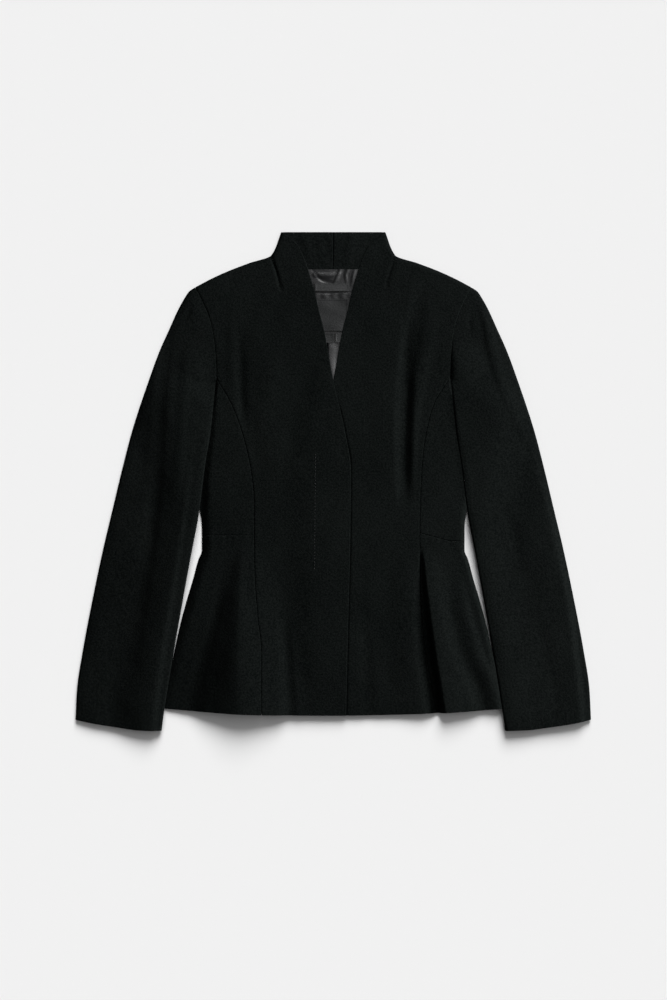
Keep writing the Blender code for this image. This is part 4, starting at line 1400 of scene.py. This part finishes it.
def label_runs():
    """Stitches along the upper and lower edges of the main label."""
    centre_x, centre_y, width, height, above = LABELS["label_main"]
    runs = []
    for end in (0.5, -0.5):
        x = centre_x + (width - 4 * LABEL_INSET) * np.linspace(-0.5, 0.5, LABEL_POINTS)
        y = np.full(x.shape, centre_y + end * (height - 2 * LABEL_INSET))
        runs.append(list(zip(x, y, label_face(x, y, above) + STITCH_RISE)))
    return runs


STITCHES = stitch_tree()
stitched("placket_stitches", [placket_run()], "label_black", STITCH_STEP, STITCH_LENGTH)
stitched("label_stitches", label_runs(), "label_tape", LABEL_STITCH_STEP, LABEL_STITCH_LENGTH)

# Floor, light and camera
FLOOR_SIZE = 12.0
FLOOR_DROP = 0.0002     # between the jacket and the floor
VIEW_HEIGHT = 1.35      # height of the picture at the jacket
VIEW_CENTRE = (0.00034, -0.0253)
LENS = 85.0
SENSOR = 36.0

ground = bpy.data.collections.new("ground")
casting = bpy.data.collections.new("pieces that shade each other")
for piece in jacket.objects:
    if not piece.name.startswith(("sleeve", "collar", "front_left")):
        casting.objects.link(piece)


def floor_piece():
    """The plain pale floor, one large face."""
    mesh = bpy.data.meshes.new("floor")
    half = FLOOR_SIZE / 2
    corners = [(x * half, y * half, -FLOOR_DROP) for x, y in ((-1, -1), (1, -1), (1, 1), (-1, 1))]
    mesh.from_pydata(corners, [], [(0, 1, 2, 3)])
    obj = in_scene("floor", mesh)
    material, tree, shader = surface("pale floor")
    place = tree.nodes.new("ShaderNodeTexCoord").outputs["Object"]
    fine = node(tree, "ShaderNodeTexNoise", Vector=place, Scale=60.0, Detail=3.0)
    tone = colour_mix(tree, fine.outputs[0], toned(FLOOR_COLOUR, 0.995), FLOOR_COLOUR)
    tree.links.new(tone, shader.inputs["Base Color"])
    shader.inputs["Roughness"].default_value = 0.9
    shader.inputs["Specular IOR Level"].default_value = 0.0
    mesh.materials.append(material)
    ground.objects.link(obj)


def light_from(name, kind, strength, way, lit):
    """A new light that shines from a direction, on one collection or on everything."""
    light = bpy.data.lights.new(name, kind)
    light.energy = strength
    obj = in_scene(name, light)
    obj.rotation_mode = "QUATERNION"
    obj.rotation_quaternion = way.to_track_quat("Z", "Y")
    if lit:
        obj.light_linking.receiver_collection = lit
    return obj


def sun(name, azimuth, elevation, width, strength, lit=None):
    """A wide soft light from a direction: azimuth from +X towards +Y, in degrees."""
    turn, up = math.radians(azimuth), math.radians(elevation)
    way = Vector((math.cos(turn) * math.cos(up), math.sin(turn) * math.cos(up), math.sin(up)))
    light_from(name, "SUN", strength, way, lit).data.angle = math.radians(width)


SKIM_PLACE = (3.6, 1.15, 1.5)
SKIM_SIZE = 0.95
SKIM_POWER = 800.0
AMBIENT = 0.12          # strength of the room's light on the scene, and of the backdrop seen
BACKDROP = 0.87


def skimming_light():
    """A softbox on the wearer's left, low over the jacket, so that its folds are shaded."""
    obj = light_from("low softbox", "AREA", SKIM_POWER, Vector(SKIM_PLACE), jacket)
    obj.data.shape = "SQUARE"
    obj.data.size = SKIM_SIZE
    obj.location = SKIM_PLACE
    obj.light_linking.blocker_collection = casting


def studio():
    """Softboxes, a low skimming one and the room's own light."""
    sun("softbox behind the collar", 80.0, 34.0, 36.0, 4.75, ground)
    sun("softbox on the jacket", 62.0, 34.0, 36.0, 2.1, jacket)
    sun("softbox overhead", 30.0, 60.0, 50.0, 0.5)
    skimming_light()
    world = bpy.data.worlds.new("studio")
    world.use_nodes = True
    tree = world.node_tree
    background = tree.nodes["Background"]
    path = tree.nodes.new("ShaderNodeLightPath")
    seen = node(tree, "ShaderNodeMapRange", Value=path.outputs["Is Camera Ray"], To_Min=AMBIENT,
                To_Max=BACKDROP)
    tree.links.new(seen.outputs[0], background.inputs["Strength"])
    background.inputs["Color"].default_value = (1.0, 1.0, 1.0, 1.0)
    bpy.context.scene.world = world
    bpy.context.scene.view_settings.view_transform = "Standard"


def camera():
    """A camera that looks straight down."""
    data = bpy.data.cameras.new("camera")
    data.lens = LENS
    data.sensor_width = SENSOR
    data.clip_end = 50.0
    obj = in_scene("camera", data)
    obj.location = (*VIEW_CENTRE, VIEW_HEIGHT * LENS / SENSOR + BODY_DEPTH * MM)
    bpy.context.scene.camera = obj


floor_piece()
studio()
camera()

bpy.context.view_layer.update()
